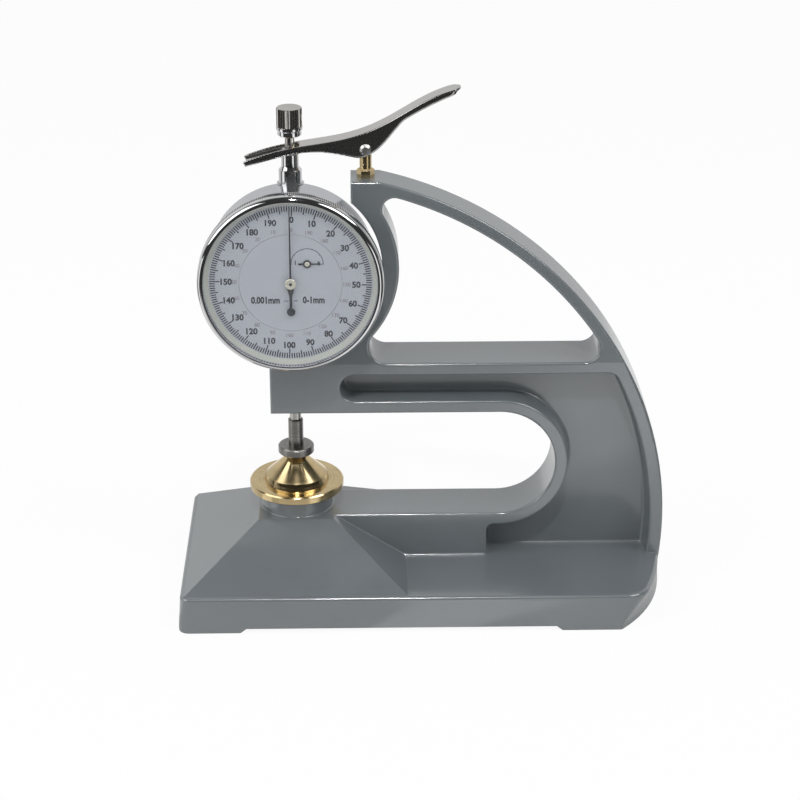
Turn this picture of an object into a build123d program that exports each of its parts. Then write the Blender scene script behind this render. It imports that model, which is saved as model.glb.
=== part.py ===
"""Bench dial thickness gauge: cast C-frame, dial indicator with its movement, anvil and lift lever.

Millimetres. Z = 0 is the surface the feet stand on and Z points up. Y = 0 is the middle of the arm,
and the dial faces -Y. X = 0 is the middle of the overall length; the measuring axis is at spindle_x.
"""
import os
from math import atan2, ceil, cos, degrees, hypot, pi, radians, sin, sqrt, tan

from build123d import *

os.makedirs("parts", exist_ok=True)

# Fits
running = 0.04            # radial clearance of a shaft in its bearing
seated = 0.02             # radial clearance of a piece fixed in its seat
face_gap = 0.1            # axial clearance of a turning piece

# Base of the casting
overall_length = 164.4    # tip of the left side to the tip of the bowed right end
spindle_inset = 39.2      # left end of the base to the measuring axis
base_top = 12.4
base_half_width = 39.7
base_draft = 0.9          # how far the front and back lean out down to the floor
end_draft = 0.6           # the same at the left and right ends
left_corner_radius = 3.5
right_corner_radius = 9.0
right_bow_radius = 94.0   # bowed right end, at the top edge
floor_corner_radius = 1.5
floor_bow_radius = 58.5   # the same end where it meets the floor
foot_height = 1.57
left_foot_end = -18.5     # from the measuring axis
right_foot_start = 89.0
foot_slope = 2.0          # run of a foot's sloped end
base_edge_radius = 1.2
base_band = 1.6           # upright band of the sides below the top edge
cast_fillet = 1.0         # hollow edge where the arm and its web rise from the base
boss_fillet = 0.5

# Pyramid and boss under the anvil
pyramid_inset = 1.3
pyramid_top_side = 25.7
throat_floor = 28.2
boss_radius = 12.2
boss_top = 34.8
core_radius = 11.0        # round core recess under the pyramid
core_top = 18.0

# Arm, in the XZ plane from the measuring axis
arm_thickness = 19.7
taper_per_mm = 0.101      # narrowing of the arm above the window's floor
head_left = -8.0
throat_radius = 18.9
throat_centre_x = 68.8
arch_radius = 125.4
arch_centre_x = -0.3
arch_centre_drop = 120.1  # below the top of the indicator case
strap = 3.9               # radial depth of the arch beside the window
pad_rise = 1.9            # pad above the top of the case
pad_left = 19.4
window_floor_drop = 3.2   # below the lowest point of the saddle
crescent_width = 5.4      # crescent of the casting round the saddle
window_top_radius = 4.0
window_right_radius = 5.0
window_left_radius = 6.0
arm_edge_radius = 0.8
root_depth = 6.0          # how deep the arm is carried into the base

# Pocket in each side of the arm
web = 2.6
pocket_draft = 6.0        # degrees
pocket_end_x = 20.1       # middle of the rounded left end, at the face
pocket_end_radius = 4.9
pocket_right_rim = 4.4
pocket_throat_rim = 4.2
pocket_corner_radius = 4.0
pocket_heel_x = 64.8
pocket_heel_radius = 2.5
pocket_edge_radius = 0.7
pocket_floor_radius = 1.2

# Small common sizes
rim_chamfer = 0.4
small_screw_radius = 0.6
small_head_radius = 1.0
small_head_height = 0.6

# Anvil
anvil_radius = 16.0
anvil_rim = 2.83
anvil_ring_radius = 11.1
anvil_cone_radius = 10.4
anvil_step = 5.1          # flange underside to the foot of the cone
anvil_face_radius = 3.0
anvil_land = 1.0          # short cylinder between the cone and the face
anvil_height = 12.84
anvil_screw_radius = 3.0
anvil_thread_depth = 7.0
screw_head_radius = 5.0
screw_head_height = 6.0
screw_key = 2.5           # half the width of the hexagon socket

# Measuring line
spindle_radius = 1.95
contact_radius = 6.06
contact_disc = 2.86
contact_sleeve_radius = 2.53
contact_sleeve_top = 60.2
contact_bore_floor = 3.7  # solid part of the sleeve above the disc
travel = 1.2
neck_radius = 1.55        # spindle above its bushes
neck_start = 0.4          # above the rim of the tube
collar_rise = 5.75        # underside of the collar above the rim of the tube
collar_radius = 4.3
collar_taper = 0.35
collar_height = 2.9
cap_radius = 4.13
cap_height = 6.3
cap_flutes = 34
thread_radius = 1.2
flute_depth = 0.24

# Indicator case
dial_height = 116.7
case_radius = 27.4
case_wall = 2.2
case_shoulder = -0.7      # where the rounded back edge starts
case_back = 4.6
case_back_inset = 3.6     # rounded back edge
ledge_width = 1.8         # inside step that the rear plate sits on
cover_rim = 0.6           # case round the cover
cover_seat = 2.2          # width of the seat under the cover's edge
cover_recess = 1.0
cover_dome = 0.8
saddle_gap = 2.2          # between the case and the saddle of the casting
cover_flange = 2.8
cover_screw_grip = 1.2
cover_screw_angles = (45, 135, 225, 315)
plate_screw_grip = 2.4
plate_screw_angles = (0, 120, 240)

# Stem below the case, sleeve above it
stem_radius = 4.0
stem_bush_radius = 3.0
stem_bush_length = 9.0
stem_neck_radius = 4.36
sleeve_radius = 3.8
sleeve_shoulder = 4.7     # height of the wide part above the case
sleeve_step = 1.0
tube_radius = 2.85
tube_height = 10.05       # case top to the rim of the tube
sleeve_bush_radius = 2.4
clamp_screw_radius = 2.0
clamp_screw_length = 5.4
clamp_screw_key = 1.0
spindle_way = 2.1         # radius that clears the spindle

# Bezel, crystal and dial
bezel_overhang = 2.6      # bezel outside the case
bezel_back = -16.9
bezel_grip_front = -20.9
bezel_front = -22.8
bezel_crown_inset = 0.5   # insets are from the bezel's outside
bezel_mouth_inset = 2.0
bezel_throat_inset = 2.6
bezel_play = 0.6          # room for the spring ring between the bezel and the case
dial_front = -19.7
dial_ring_thickness = 0.5
dial_centre_radius = 16.5
dial_centre_thickness = 0.4
crystal_back = -21.3
crystal_thickness = 0.7
crystal_rise = 1.0
wire_height = 0.9
wire_middle = -18.0
wire_seat_depth = 0.4
spring_ring_arc = 330.0
bezel_lip_inset = 1.4
bezel_crown_depth = -22.25
dial_foot_offset = 12.0
dial_foot_radius = 0.9
arbor_way = 0.9           # radius of the holes in the dial

# Pointers
pointer_back = -20.4
pointer_thickness = 0.2
pointer_gap = 2.1         # pointer's tip to the bezel
pointer_tail = 11.0
pointer_hub_radius = 1.8
pointer_hub_front = -21.05
pointer_root = 0.32
pointer_tip = 0.16
pointer_waist = 0.45
pointer_waist_at = 4.2
pointer_blob = 1.35
small_pointer_root = 0.3
small_pointer_tip = 0.1
small_pointer_back = -19.9
small_pointer_thickness = 0.15
small_pointer_length = 4.6
small_pointer_tail = 2.9
small_pointer_hub_radius = 1.35
counter_offset = (5.4, 6.55)   # small dial's middle from the large one's

# Movement
front_plate_back = -13.8
rear_plate_back = -3.4
plate_thickness = 1.2
front_plate_radius = 19.0
pillar_radius = 1.7
pillar_circle = 16.5
pillar_angles = (0, 120, 240)
pillar_tap_depth = 3.0
arbor_radius = 0.6
pivot_radius = 0.35
first_arbor_radius = 0.8
front_arbor_radius = 0.5
rack_pitch = 0.5
rack_line = 1.5           # pitch line of the rack from the measuring axis
rack_pinion_teeth = 16
first_teeth = 80
second_pinion_teeth = 10
first_module = 0.2
second_teeth = 50
centre_teeth = 10
counter_teeth = 100
takeup_teeth = 50
first_drop = 8.8          # first arbor below the dial's middle
takeup_angle = 140.0
gear_thickness = 0.6
rack_pinion_length = 3.2
rack_run_out = 0.9
flank_slope = tan(radians(20))
tooth_share = 0.42        # tooth width at the pitch line over the pitch
addendum_share = 0.75     # of the module
dedendum_share = 1.05
first_gear_back = -5.8
second_gear_back = -12.0
takeup_gear_back = -10.8
counter_gear_back = -8.8
guide_height = 4.0        # guide pin above the dial's middle
guide_radius = 0.75
guide_reach = 7.6
spring_offset = 5.0
spring_radius = 1.4
spring_wire = 0.35
spring_length = 18.0
spring_coils = 14
rail_clearance = 0.2
rail_depth = 2.4
rail_groove = 1.6
rail_wall = 0.9
rail_length = 7.0
cock_front = 2.2
cock_start = 0.8
cock_length = 9.6
cock_width = 4.4
cock_foot = 2.2
hairspring_back = -6.6
hairspring_turns = 4
hairspring_strip = 0.14
hairspring_pitch = 0.42
hairspring_width = 0.5
hairspring_clearance = 0.3
hairspring_steps = 20
stud_radius = 0.5

# Lift lever, outline points across from the measuring axis and up from the rivet
lever_half_width = 3.8
lever_plate = 1.0
post_x = 24.3
post_radius = 1.95
post_hexagon = 5.0
post_collar = 2.8
post_chamfer = 0.5
post_thread_radius = 2.0
post_thread_length = 8.0
pivot_rise = 10.0         # rivet above the pad
rivet_radius = 1.0
rivet_head_radius = 1.85
rivet_head = 0.7
fork_end = 3.0            # how far the fork is open behind the measuring axis
lever_top = [(-15.2, -4.0), (-3.0, -0.2), (6.0, 1.5), (17.8, 3.6), (29.0, 7.7), (41.7, 15.0), (54.9, 20.0)]
lever_belly = [(-14.3, -5.7), (-3.0, -2.6), (6.6, -1.0), (16.1, -1.9), (21.9, -3.0)]
lever_heel = [(21.9, -3.0), (26.4, -1.5), (32.1, 4.0), (36.9, 9.6)]
lever_tail = [(36.9, 9.6), (44.8, 14.1), (54.9, 18.6)]

spindle_x = spindle_inset - overall_length / 2
case_top = dial_height + case_radius
anvil_face = boss_top + anvil_height
tube_rim = case_top + tube_height
half_arm = arm_thickness / 2
throat_centre_z = throat_floor + throat_radius
throat_roof = throat_floor + 2 * throat_radius
saddle_radius = case_radius + saddle_gap
crescent_radius = saddle_radius + crescent_width
arch_centre = (arch_centre_x, case_top - arch_centre_drop)
pad_top = case_top + pad_rise
window_floor = dial_height - saddle_radius - window_floor_drop
clamp_screw_height = (throat_roof + dial_height - saddle_radius) / 2
inner_radius = case_radius - case_wall
ledge_radius = inner_radius - ledge_width
case_back_radius = case_radius - case_back_inset
cover_radius = case_back_radius - cover_rim
back_opening_radius = cover_radius - cover_seat
cover_screw_circle = cover_radius - cover_seat / 2
cover_dome_radius = cover_radius - cover_flange
plate_screw_circle = ledge_radius + small_screw_radius
rear_plate_radius = inner_radius - face_gap
case_front = dial_front + dial_ring_thickness + face_gap
bezel_radius = case_radius + bezel_overhang
bezel_bore_radius = case_radius + bezel_play
bezel_crown_radius = bezel_radius - bezel_crown_inset
bezel_lip_radius = bezel_radius - bezel_lip_inset
bezel_mouth_radius = bezel_radius - bezel_mouth_inset
bezel_throat_radius = bezel_radius - bezel_throat_inset
wire_seat_radius = case_radius - wire_seat_depth
pointer_length = bezel_throat_radius - pointer_gap
pivot_height = pad_top + pivot_rise

spindle_axis = Axis((spindle_x, 0, 0), (0, 0, 1))
dial_axis = Axis((spindle_x, 0, dial_height), (0, 1, 0))
upright = Plane(origin=(spindle_x, 0, 0), x_dir=(1, 0, 0), z_dir=(0, -1, 0))
dial_section = Plane(origin=(spindle_x, 0, dial_height), x_dir=(0, 1, 0), z_dir=(1, 0, 0))


def level(height, across=0.0):
    """Horizontal plane at a height, its middle on the measuring axis or a distance to the right of it."""
    return Plane(origin=(spindle_x + across, 0, height))


def facing(depth, height=0.0, across=0.0):
    """Upright plane facing the front, at a depth in Y."""
    return Plane(origin=(spindle_x + across, depth, height), x_dir=(1, 0, 0), z_dir=(0, -1, 0))


def side_plane(height):
    """Upright plane facing left, its middle on the measuring axis."""
    return Plane(origin=(spindle_x, 0, height), x_dir=(0, 1, 0), z_dir=(-1, 0, 0))


def polar(radius, angle):
    """Point at a radius and an angle in degrees."""
    return (radius * cos(radians(angle)), radius * sin(radians(angle)))


def around_dial(depth, circle, angle):
    """Plane facing the front, at a place on a circle round the dial's middle."""
    across, up = polar(circle, angle)
    return facing(depth, dial_height + up, across)


def turn(section, plane, axis, arc=360.0, mode=Mode.ADD):
    """Revolve a closed half section, given by its corners."""
    with BuildSketch(plane) as half:
        with BuildLine():
            Polyline(*section, close=True)
        make_face()
    revolve(half.sketch, axis=axis, revolution_arc=arc, mode=mode)


def turn_upright(section):
    """Turned piece on the measuring axis, corners as (radius, height)."""
    turn(section, upright, spindle_axis)


def turn_dial(section, mode=Mode.ADD):
    """Turned piece on the dial's axis, corners as (depth, radius)."""
    turn(section, dial_section, dial_axis, mode=mode)


def rod(plane, radius, length, mode=Mode.ADD):
    """Round rod that stands on a plane."""
    with BuildSketch(plane) as disc:
        Circle(radius)
    extrude(disc.sketch, amount=length, mode=mode)


def small_screw(seat, circle, angle, grip, outward):
    """Small screw on a circle round the dial's middle, its head on the outward side of its seat."""
    across, up = polar(circle, angle)
    middle = (spindle_x + across, 0, dial_height + up)
    head = seat + outward * small_head_height
    turn([(head, 0), (head, small_head_radius), (seat, small_head_radius), (seat, small_screw_radius),
          (seat - outward * grip, small_screw_radius), (seat - outward * grip, 0)],
         Plane(origin=middle, x_dir=(0, 1, 0), z_dir=(1, 0, 0)), Axis(middle, (0, 1, 0)))


def save(builder, name):
    """Label a finished piece and write its file."""
    builder.part.label = name
    export_step(builder.part, f"parts/{name}.step")


# Frame casting: arm
def circle_height(centre, radius, across):
    """Height of a circle above its middle's level, at a distance across."""
    return centre[1] + sqrt(radius**2 - (across - centre[0]) ** 2)


def circle_reach(centre, radius, height):
    """Distance across, right of a circle's middle, at a height."""
    return centre[0] + sqrt(radius**2 - (height - centre[1]) ** 2)


arm_foot = base_top - root_depth
arch_foot_x = circle_reach(arch_centre, arch_radius, arm_foot)
arch_pad_x = circle_reach(arch_centre, arch_radius, pad_top)
arch_middle = (arch_centre[0] + arch_radius * cos(pi / 6), arch_centre[1] + arch_radius * sin(pi / 6))
saddle_left = dial_height - sqrt(saddle_radius**2 - head_left**2)
saddle_right = circle_height((0, dial_height), saddle_radius, pad_left)
throat_end_x = throat_centre_x + throat_radius

with BuildPart() as arm:
    with BuildSketch(facing(half_arm)):
        with BuildLine():
            Polyline((0, throat_roof), (head_left, throat_roof), (head_left, saddle_left))
            ThreePointArc((head_left, saddle_left), (saddle_radius, dial_height), (pad_left, saddle_right))
            Polyline((pad_left, saddle_right), (pad_left, pad_top), (arch_pad_x, pad_top))
            ThreePointArc((arch_pad_x, pad_top), arch_middle, (arch_foot_x, arm_foot))
            Polyline((arch_foot_x, arm_foot), (0, arm_foot), (0, throat_floor), (throat_centre_x, throat_floor))
            ThreePointArc((throat_centre_x, throat_floor), (throat_end_x, throat_centre_z),
                          (throat_centre_x, throat_roof))
            Line((throat_centre_x, throat_roof), (0, throat_roof))
        make_face()
    extrude(amount=arm_thickness)

    # Narrowing of the upper arm, seen from the end
    half_pad = half_arm - taper_per_mm / 2 * (pad_top - window_floor)
    with BuildSketch(Plane.YZ.offset(-overall_length)):
        with BuildLine():
            Polyline((-half_arm, 0), (half_arm, 0), (half_arm, window_floor), (half_pad, pad_top),
                     (-half_pad, pad_top), (-half_arm, window_floor), close=True)
        make_face()
    extrude(amount=2 * overall_length, mode=Mode.INTERSECT)

    # Window between the crescent, the arch and the beam
    with BuildSketch(facing(half_arm)) as window:
        with Locations(arch_centre):
            Circle(arch_radius - strap)
        with Locations((0, dial_height)):
            Circle(crescent_radius, mode=Mode.SUBTRACT)
        with Locations((0, window_floor)):
            Rectangle(arch_radius, arch_radius, align=(Align.MIN, Align.MIN), mode=Mode.INTERSECT)
        fillet(window.vertices().sort_by(Axis.Y)[-1], window_top_radius)
        fillet(window.vertices().sort_by(Axis.X)[-1], window_right_radius)
        fillet(window.vertices().group_by(Axis.Y)[0].sort_by(Axis.X)[0], window_left_radius)
    extrude(amount=arm_thickness, mode=Mode.SUBTRACT)

    # The cast rims are rounded, but not the crease where the narrowing starts
    def is_rim(edge):
        box = edge.bounding_box()
        is_crease = box.size.Z < 0.01 and abs(box.min.Z - window_floor) < 0.01 and box.min.X < spindle_x
        return box.size.Y < half_arm and box.max.Z > base_top and not is_crease

    fillet(arm.edges().filter_by(is_rim), arm_edge_radius)

    # Drafted pocket in each side, which leaves a web in the middle
    pocket_depth = half_arm - web / 2
    pocket_floor_z = throat_roof + pocket_throat_rim
    pocket_top = pocket_floor_z + 2 * pocket_end_radius
    pocket_right = arch_radius - pocket_right_rim
    pocket_corner = (circle_reach(arch_centre, pocket_right, pocket_top), pocket_top)
    pocket_foot_x = circle_reach(arch_centre, pocket_right, arm_foot)
    heel = (pocket_heel_x, throat_floor - pocket_throat_rim)
    with BuildSketch(facing(-web / 2)) as pocket:
        with BuildLine():
            ThreePointArc((pocket_end_x, pocket_floor_z),
                          (pocket_end_x - pocket_end_radius, pocket_floor_z + pocket_end_radius),
                          (pocket_end_x, pocket_top))
            Line((pocket_end_x, pocket_top), pocket_corner)
            ThreePointArc(pocket_corner, (arch_centre[0] + pocket_right, arch_centre[1]),
                          (pocket_foot_x, arm_foot))
            Polyline((pocket_foot_x, arm_foot), (pocket_heel_x, arm_foot), heel, (throat_centre_x, heel[1]))
            ThreePointArc((throat_centre_x, heel[1]), (throat_end_x + pocket_throat_rim, throat_centre_z),
                          (throat_centre_x, pocket_floor_z))
            Line((throat_centre_x, pocket_floor_z), (pocket_end_x, pocket_floor_z))
        make_face()
        fillet(pocket.vertices().sort_by_distance(pocket_corner)[0], pocket_corner_radius)
        fillet(pocket.vertices().sort_by_distance(heel)[0], pocket_heel_radius)
        offset(amount=-pocket_depth * tan(radians(pocket_draft)), mode=Mode.REPLACE)
    cutter = extrude(amount=pocket_depth + 1, taper=-pocket_draft, mode=Mode.PRIVATE)
    cutter = cutter.fillet(pocket_floor_radius, cutter.edges().group_by(Axis.Y)[-1])
    for side in (cutter, cutter.mirror(Plane.XZ)):
        add(side, mode=Mode.SUBTRACT)
        mouth = arm.edges(Select.LAST).filter_by(lambda edge: edge.bounding_box().size.Y < 0.01)
        mouth = mouth.filter_by(lambda edge: abs(edge.center().Y) > half_arm - 0.01)
        fillet(mouth.filter_by(lambda edge: edge.bounding_box().max.Z > base_top), pocket_edge_radius)


# Frame casting: base, pyramid and boss
def base_outline(half_width, left, right, corner_radius, bow):
    """Outline of the base: straight on three sides, with rounded corners and a bowed right end."""
    corner_x = circle_reach((right - bow, 0), bow, half_width)
    with BuildLine() as sides:
        Polyline((corner_x, half_width), (left, half_width), (left, -half_width), (corner_x, -half_width))
        ThreePointArc((corner_x, -half_width), (right, 0), (corner_x, half_width))
    outline = make_face(sides.edges())
    outline = fillet(outline.vertices().group_by(Axis.X)[0], left_corner_radius)
    fillet(outline.vertices().group_by(Axis.X)[-1], corner_radius)


base_right = overall_length - spindle_inset
floor_half_width = base_half_width + base_draft
pyramid_side = 2 * (spindle_inset - end_draft - pyramid_inset)
pyramid_depth = 2 * (base_half_width - pyramid_inset)

with BuildPart() as frame_casting:
    with BuildSketch(level(foot_height)):
        base_outline(floor_half_width, -spindle_inset, base_right, floor_corner_radius, floor_bow_radius)
    with BuildSketch(level(base_top - base_band)) as band:
        base_outline(base_half_width, end_draft - spindle_inset, base_right - end_draft,
                     right_corner_radius, right_bow_radius)
    loft()
    extrude(band.sketch, amount=base_band)
    fillet(frame_casting.edges().group_by(Axis.Z)[-1], base_edge_radius)

    # A foot at each end, with the relieved part of the underside between them
    with BuildSketch(level(0)):
        base_outline(floor_half_width, -spindle_inset, base_right, floor_corner_radius, floor_bow_radius)
    extrude(amount=foot_height)
    with BuildSketch(facing(overall_length)):
        with BuildLine():
            Polyline((left_foot_end, 0), (right_foot_start, 0), (right_foot_start - foot_slope, foot_height),
                     (left_foot_end + foot_slope, foot_height), close=True)
        make_face()
    extrude(amount=2 * overall_length, mode=Mode.SUBTRACT)

    with BuildSketch(level(base_top)):
        Rectangle(pyramid_side, pyramid_depth)
    with BuildSketch(level(throat_floor)):
        Rectangle(pyramid_top_side, pyramid_top_side)
    loft()
    rod(level(throat_floor), boss_radius, boss_top - throat_floor)
    add(arm.part)
    fillet(frame_casting.edges().filter_by(GeomType.CIRCLE)
           .filter_by_position(Axis.Z, throat_floor - rim_chamfer, throat_floor + rim_chamfer), boss_fillet)

    # Hollow edges along the foot of the arm and, in the pocket, of the web
    heel_x = pocket_heel_x - pocket_edge_radius
    for start, end, face in ((0, heel_x, half_arm), (heel_x, arch_radius - pocket_right_rim, web / 2)):
        for side in (-1, 1):
            foot, out = side * face, side * (face + cast_fillet)
            hollow = sqrt(0.5) * cast_fillet
            with BuildSketch(Plane.YZ.offset(spindle_x + start)) as cove:
                with BuildLine():
                    Polyline((foot, base_top + cast_fillet), (foot, base_top), (out, base_top))
                    ThreePointArc((out, base_top), (out - side * hollow, base_top + cast_fillet - hollow),
                                  (foot, base_top + cast_fillet))
                make_face()
            extrude(cove.sketch, amount=end - start)

    # Core recess and screw hole under the anvil
    rod(level(0), core_radius, core_top, Mode.SUBTRACT)
    rod(level(0), anvil_screw_radius + seated, boss_top, Mode.SUBTRACT)

    # Bore for the indicator's stem, tapped hole behind it for the clamp screw, tapped hole in the pad
    rod(level(throat_roof), stem_radius + seated, dial_height - throat_roof, Mode.SUBTRACT)
    rod(facing(half_arm, clamp_screw_height), clamp_screw_radius + seated, half_arm, Mode.SUBTRACT)
    rod(level(pad_top - post_thread_length - face_gap, post_x), post_thread_radius + seated,
        post_thread_length + 1, Mode.SUBTRACT)
save(frame_casting, "frame_casting")

# Anvil and its screw
with BuildPart() as anvil:
    rim_top = boss_top + anvil_rim
    cone_foot = boss_top + anvil_step
    turn_upright([(0, boss_top), (anvil_radius - rim_chamfer, boss_top), (anvil_radius, boss_top + rim_chamfer),
                  (anvil_radius, rim_top - rim_chamfer), (anvil_radius - rim_chamfer, rim_top),
                  (anvil_ring_radius, rim_top), (anvil_cone_radius, cone_foot),
                  (anvil_face_radius, anvil_face - anvil_land),
                  (anvil_face_radius, anvil_face), (0, anvil_face)])
    rod(level(boss_top), anvil_screw_radius + seated, anvil_thread_depth, Mode.SUBTRACT)
save(anvil, "anvil")

with BuildPart() as anvil_screw:
    screw_head_foot = core_top - screw_head_height
    rod(level(screw_head_foot), screw_head_radius, screw_head_height)
    rod(level(core_top), anvil_screw_radius, boss_top + anvil_thread_depth - face_gap - core_top)
    with BuildSketch(level(screw_head_foot)):
        RegularPolygon(screw_key, 6, major_radius=False)
    extrude(amount=screw_head_height / 2, mode=Mode.SUBTRACT)
save(anvil_screw, "anvil_screw")

with BuildPart() as stem_clamp_screw:
    clamp_tip = stem_radius + seated
    rod(facing(clamp_tip + clamp_screw_length, clamp_screw_height), clamp_screw_radius, clamp_screw_length)
    with BuildSketch(facing(clamp_tip + clamp_screw_length, clamp_screw_height)):
        RegularPolygon(clamp_screw_key, 6, major_radius=False)
    extrude(amount=clamp_screw_length / 2, mode=Mode.SUBTRACT)
save(stem_clamp_screw, "stem_clamp_screw")


# Measuring line: spindle with its rack, contact point, lifting collar and knurled cap
first_height = dial_height - first_drop
rack_pinion_radius = rack_pinion_teeth * rack_pitch / (2 * pi)
rack_module = rack_pitch / pi
first_x = rack_line + rack_pinion_radius
rack_face = rack_line + addendum_share * rack_module
rack_root = rack_line - dedendum_share * rack_module
contact_top = anvil_face + contact_disc
spindle_foot = contact_top + contact_bore_floor
collar_foot = tube_rim + collar_rise
collar_top = collar_foot + collar_height
cap_top = collar_top + cap_height
thread_top = cap_top - cap_height / 3
guide_z = dial_height + guide_height

with BuildPart() as spindle:
    turn_upright([(0, spindle_foot + face_gap), (spindle_radius, spindle_foot + face_gap),
                  (spindle_radius, tube_rim + neck_start), (neck_radius, tube_rim + neck_start),
                  (neck_radius, collar_top), (thread_radius, collar_top), (thread_radius, thread_top),
                  (0, thread_top)])
    # Flat milled for the rack, then a groove between each two teeth
    rack_reach = rack_pinion_radius + rack_run_out
    rack_middle = first_height - travel / 2
    rack_length = 2 * rack_reach + travel
    with BuildSketch(facing(spindle_radius)):
        with Locations((rack_face, rack_middle)):
            Rectangle(spindle_radius, rack_length, align=(Align.MIN, Align.CENTER))
        half_gap = rack_pitch * (1 - tooth_share) / 2
        half_mouth = half_gap + (rack_face - rack_line) * flank_slope
        half_root = half_gap - (rack_line - rack_root) * flank_slope
        lowest = ceil((rack_middle - rack_length / 2 + half_mouth - first_height) / rack_pitch - 0.5)
        grooves = int(rack_length / rack_pitch)
        for step in range(lowest, lowest + grooves):
            groove_z = first_height + (step + 0.5) * rack_pitch
            with BuildLine():
                Polyline((rack_face, groove_z - half_mouth), (rack_root, groove_z - half_root),
                         (rack_root, groove_z + half_root), (rack_face, groove_z + half_mouth), close=True)
            make_face()
    extrude(amount=2 * spindle_radius, mode=Mode.SUBTRACT)
    # Cross hole for the guide pin
    rod(side_plane(guide_z), guide_radius + seated, spindle_radius + 1, Mode.SUBTRACT)
save(spindle, "spindle")

with BuildPart() as guide_pin:
    rod(side_plane(guide_z), guide_radius, guide_reach)
save(guide_pin, "guide_pin")

with BuildPart() as contact_point:
    turn_upright([(0, anvil_face), (contact_radius - rim_chamfer, anvil_face),
                  (contact_radius, anvil_face + rim_chamfer), (contact_radius, contact_top - rim_chamfer),
                  (contact_radius - rim_chamfer, contact_top), (contact_sleeve_radius, contact_top),
                  (contact_sleeve_radius, contact_sleeve_top - rim_chamfer),
                  (contact_sleeve_radius - rim_chamfer, contact_sleeve_top), (0, contact_sleeve_top)])
    rod(level(spindle_foot), spindle_radius + seated, contact_sleeve_top - spindle_foot, Mode.SUBTRACT)
save(contact_point, "contact_point")

with BuildPart() as lift_collar:
    turn_upright([(neck_radius + seated, collar_foot), (collar_radius - collar_taper - rim_chamfer, collar_foot),
                  (collar_radius - collar_taper, collar_foot + rim_chamfer),
                  (collar_radius - collar_taper, collar_top - 3 * rim_chamfer),
                  (collar_radius, collar_top - 2 * rim_chamfer), (collar_radius, collar_top),
                  (neck_radius + seated, collar_top)])
save(lift_collar, "lift_collar")

with BuildPart() as spindle_cap:
    turn_upright([(thread_radius + seated, collar_top), (cap_radius - rim_chamfer, collar_top),
                  (cap_radius, collar_top + rim_chamfer), (cap_radius, cap_top - rim_chamfer / 2),
                  (cap_radius - rim_chamfer / 2, cap_top), (0, cap_top), (0, thread_top + face_gap),
                  (thread_radius + seated, thread_top + face_gap)])
    with BuildSketch(level(collar_top)):
        with BuildLine():
            ridge = [cap_radius, cap_radius - flute_depth]
            Polyline(*[polar(ridge[i % 2], 180 * i / cap_flutes) for i in range(2 * cap_flutes)], close=True)
        make_face()
    extrude(amount=cap_height, mode=Mode.INTERSECT)
save(spindle_cap, "spindle_cap")


# Stem with its bush, sleeve with its bush
stem_top = dial_height - inner_radius - face_gap
sleeve_foot = dial_height + inner_radius + face_gap
sleeve_top = case_top + sleeve_shoulder
bore_radius = spindle_radius + running

with BuildPart() as lower_stem:
    bush_seat = stem_bush_radius + seated
    turn_upright([(bush_seat, throat_roof), (stem_radius, throat_roof), (stem_radius, stem_top),
                  (spindle_way, stem_top), (spindle_way, throat_roof + stem_bush_length),
                  (bush_seat, throat_roof + stem_bush_length)])
save(lower_stem, "lower_stem")

with BuildPart() as lower_bush:
    turn_upright([(bore_radius, throat_roof), (stem_bush_radius, throat_roof),
                  (stem_bush_radius, throat_roof + stem_bush_length),
                  (bore_radius, throat_roof + stem_bush_length)])
save(lower_bush, "lower_bush")

with BuildPart() as upper_sleeve:
    bush_seat = sleeve_bush_radius + seated
    turn_upright([(spindle_way, sleeve_foot), (sleeve_radius, sleeve_foot),
                  (sleeve_radius, sleeve_top - rim_chamfer), (sleeve_radius - rim_chamfer, sleeve_top),
                  (tube_radius + rim_chamfer, sleeve_top), (tube_radius, sleeve_top + sleeve_step),
                  (tube_radius, tube_rim - rim_chamfer), (tube_radius - rim_chamfer, tube_rim),
                  (bush_seat, tube_rim), (bush_seat, case_top), (spindle_way, case_top)])
save(upper_sleeve, "upper_sleeve")

with BuildPart() as upper_bush:
    turn_upright([(bore_radius, case_top), (sleeve_bush_radius, case_top),
                  (sleeve_bush_radius, tube_rim), (bore_radius, tube_rim)])
save(upper_bush, "upper_bush")


# Case, back cover and their screws
rear_plate_front = rear_plate_back - plate_thickness
cover_front = case_back - cover_recess
wall_front = cover_front - cover_screw_grip

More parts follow.
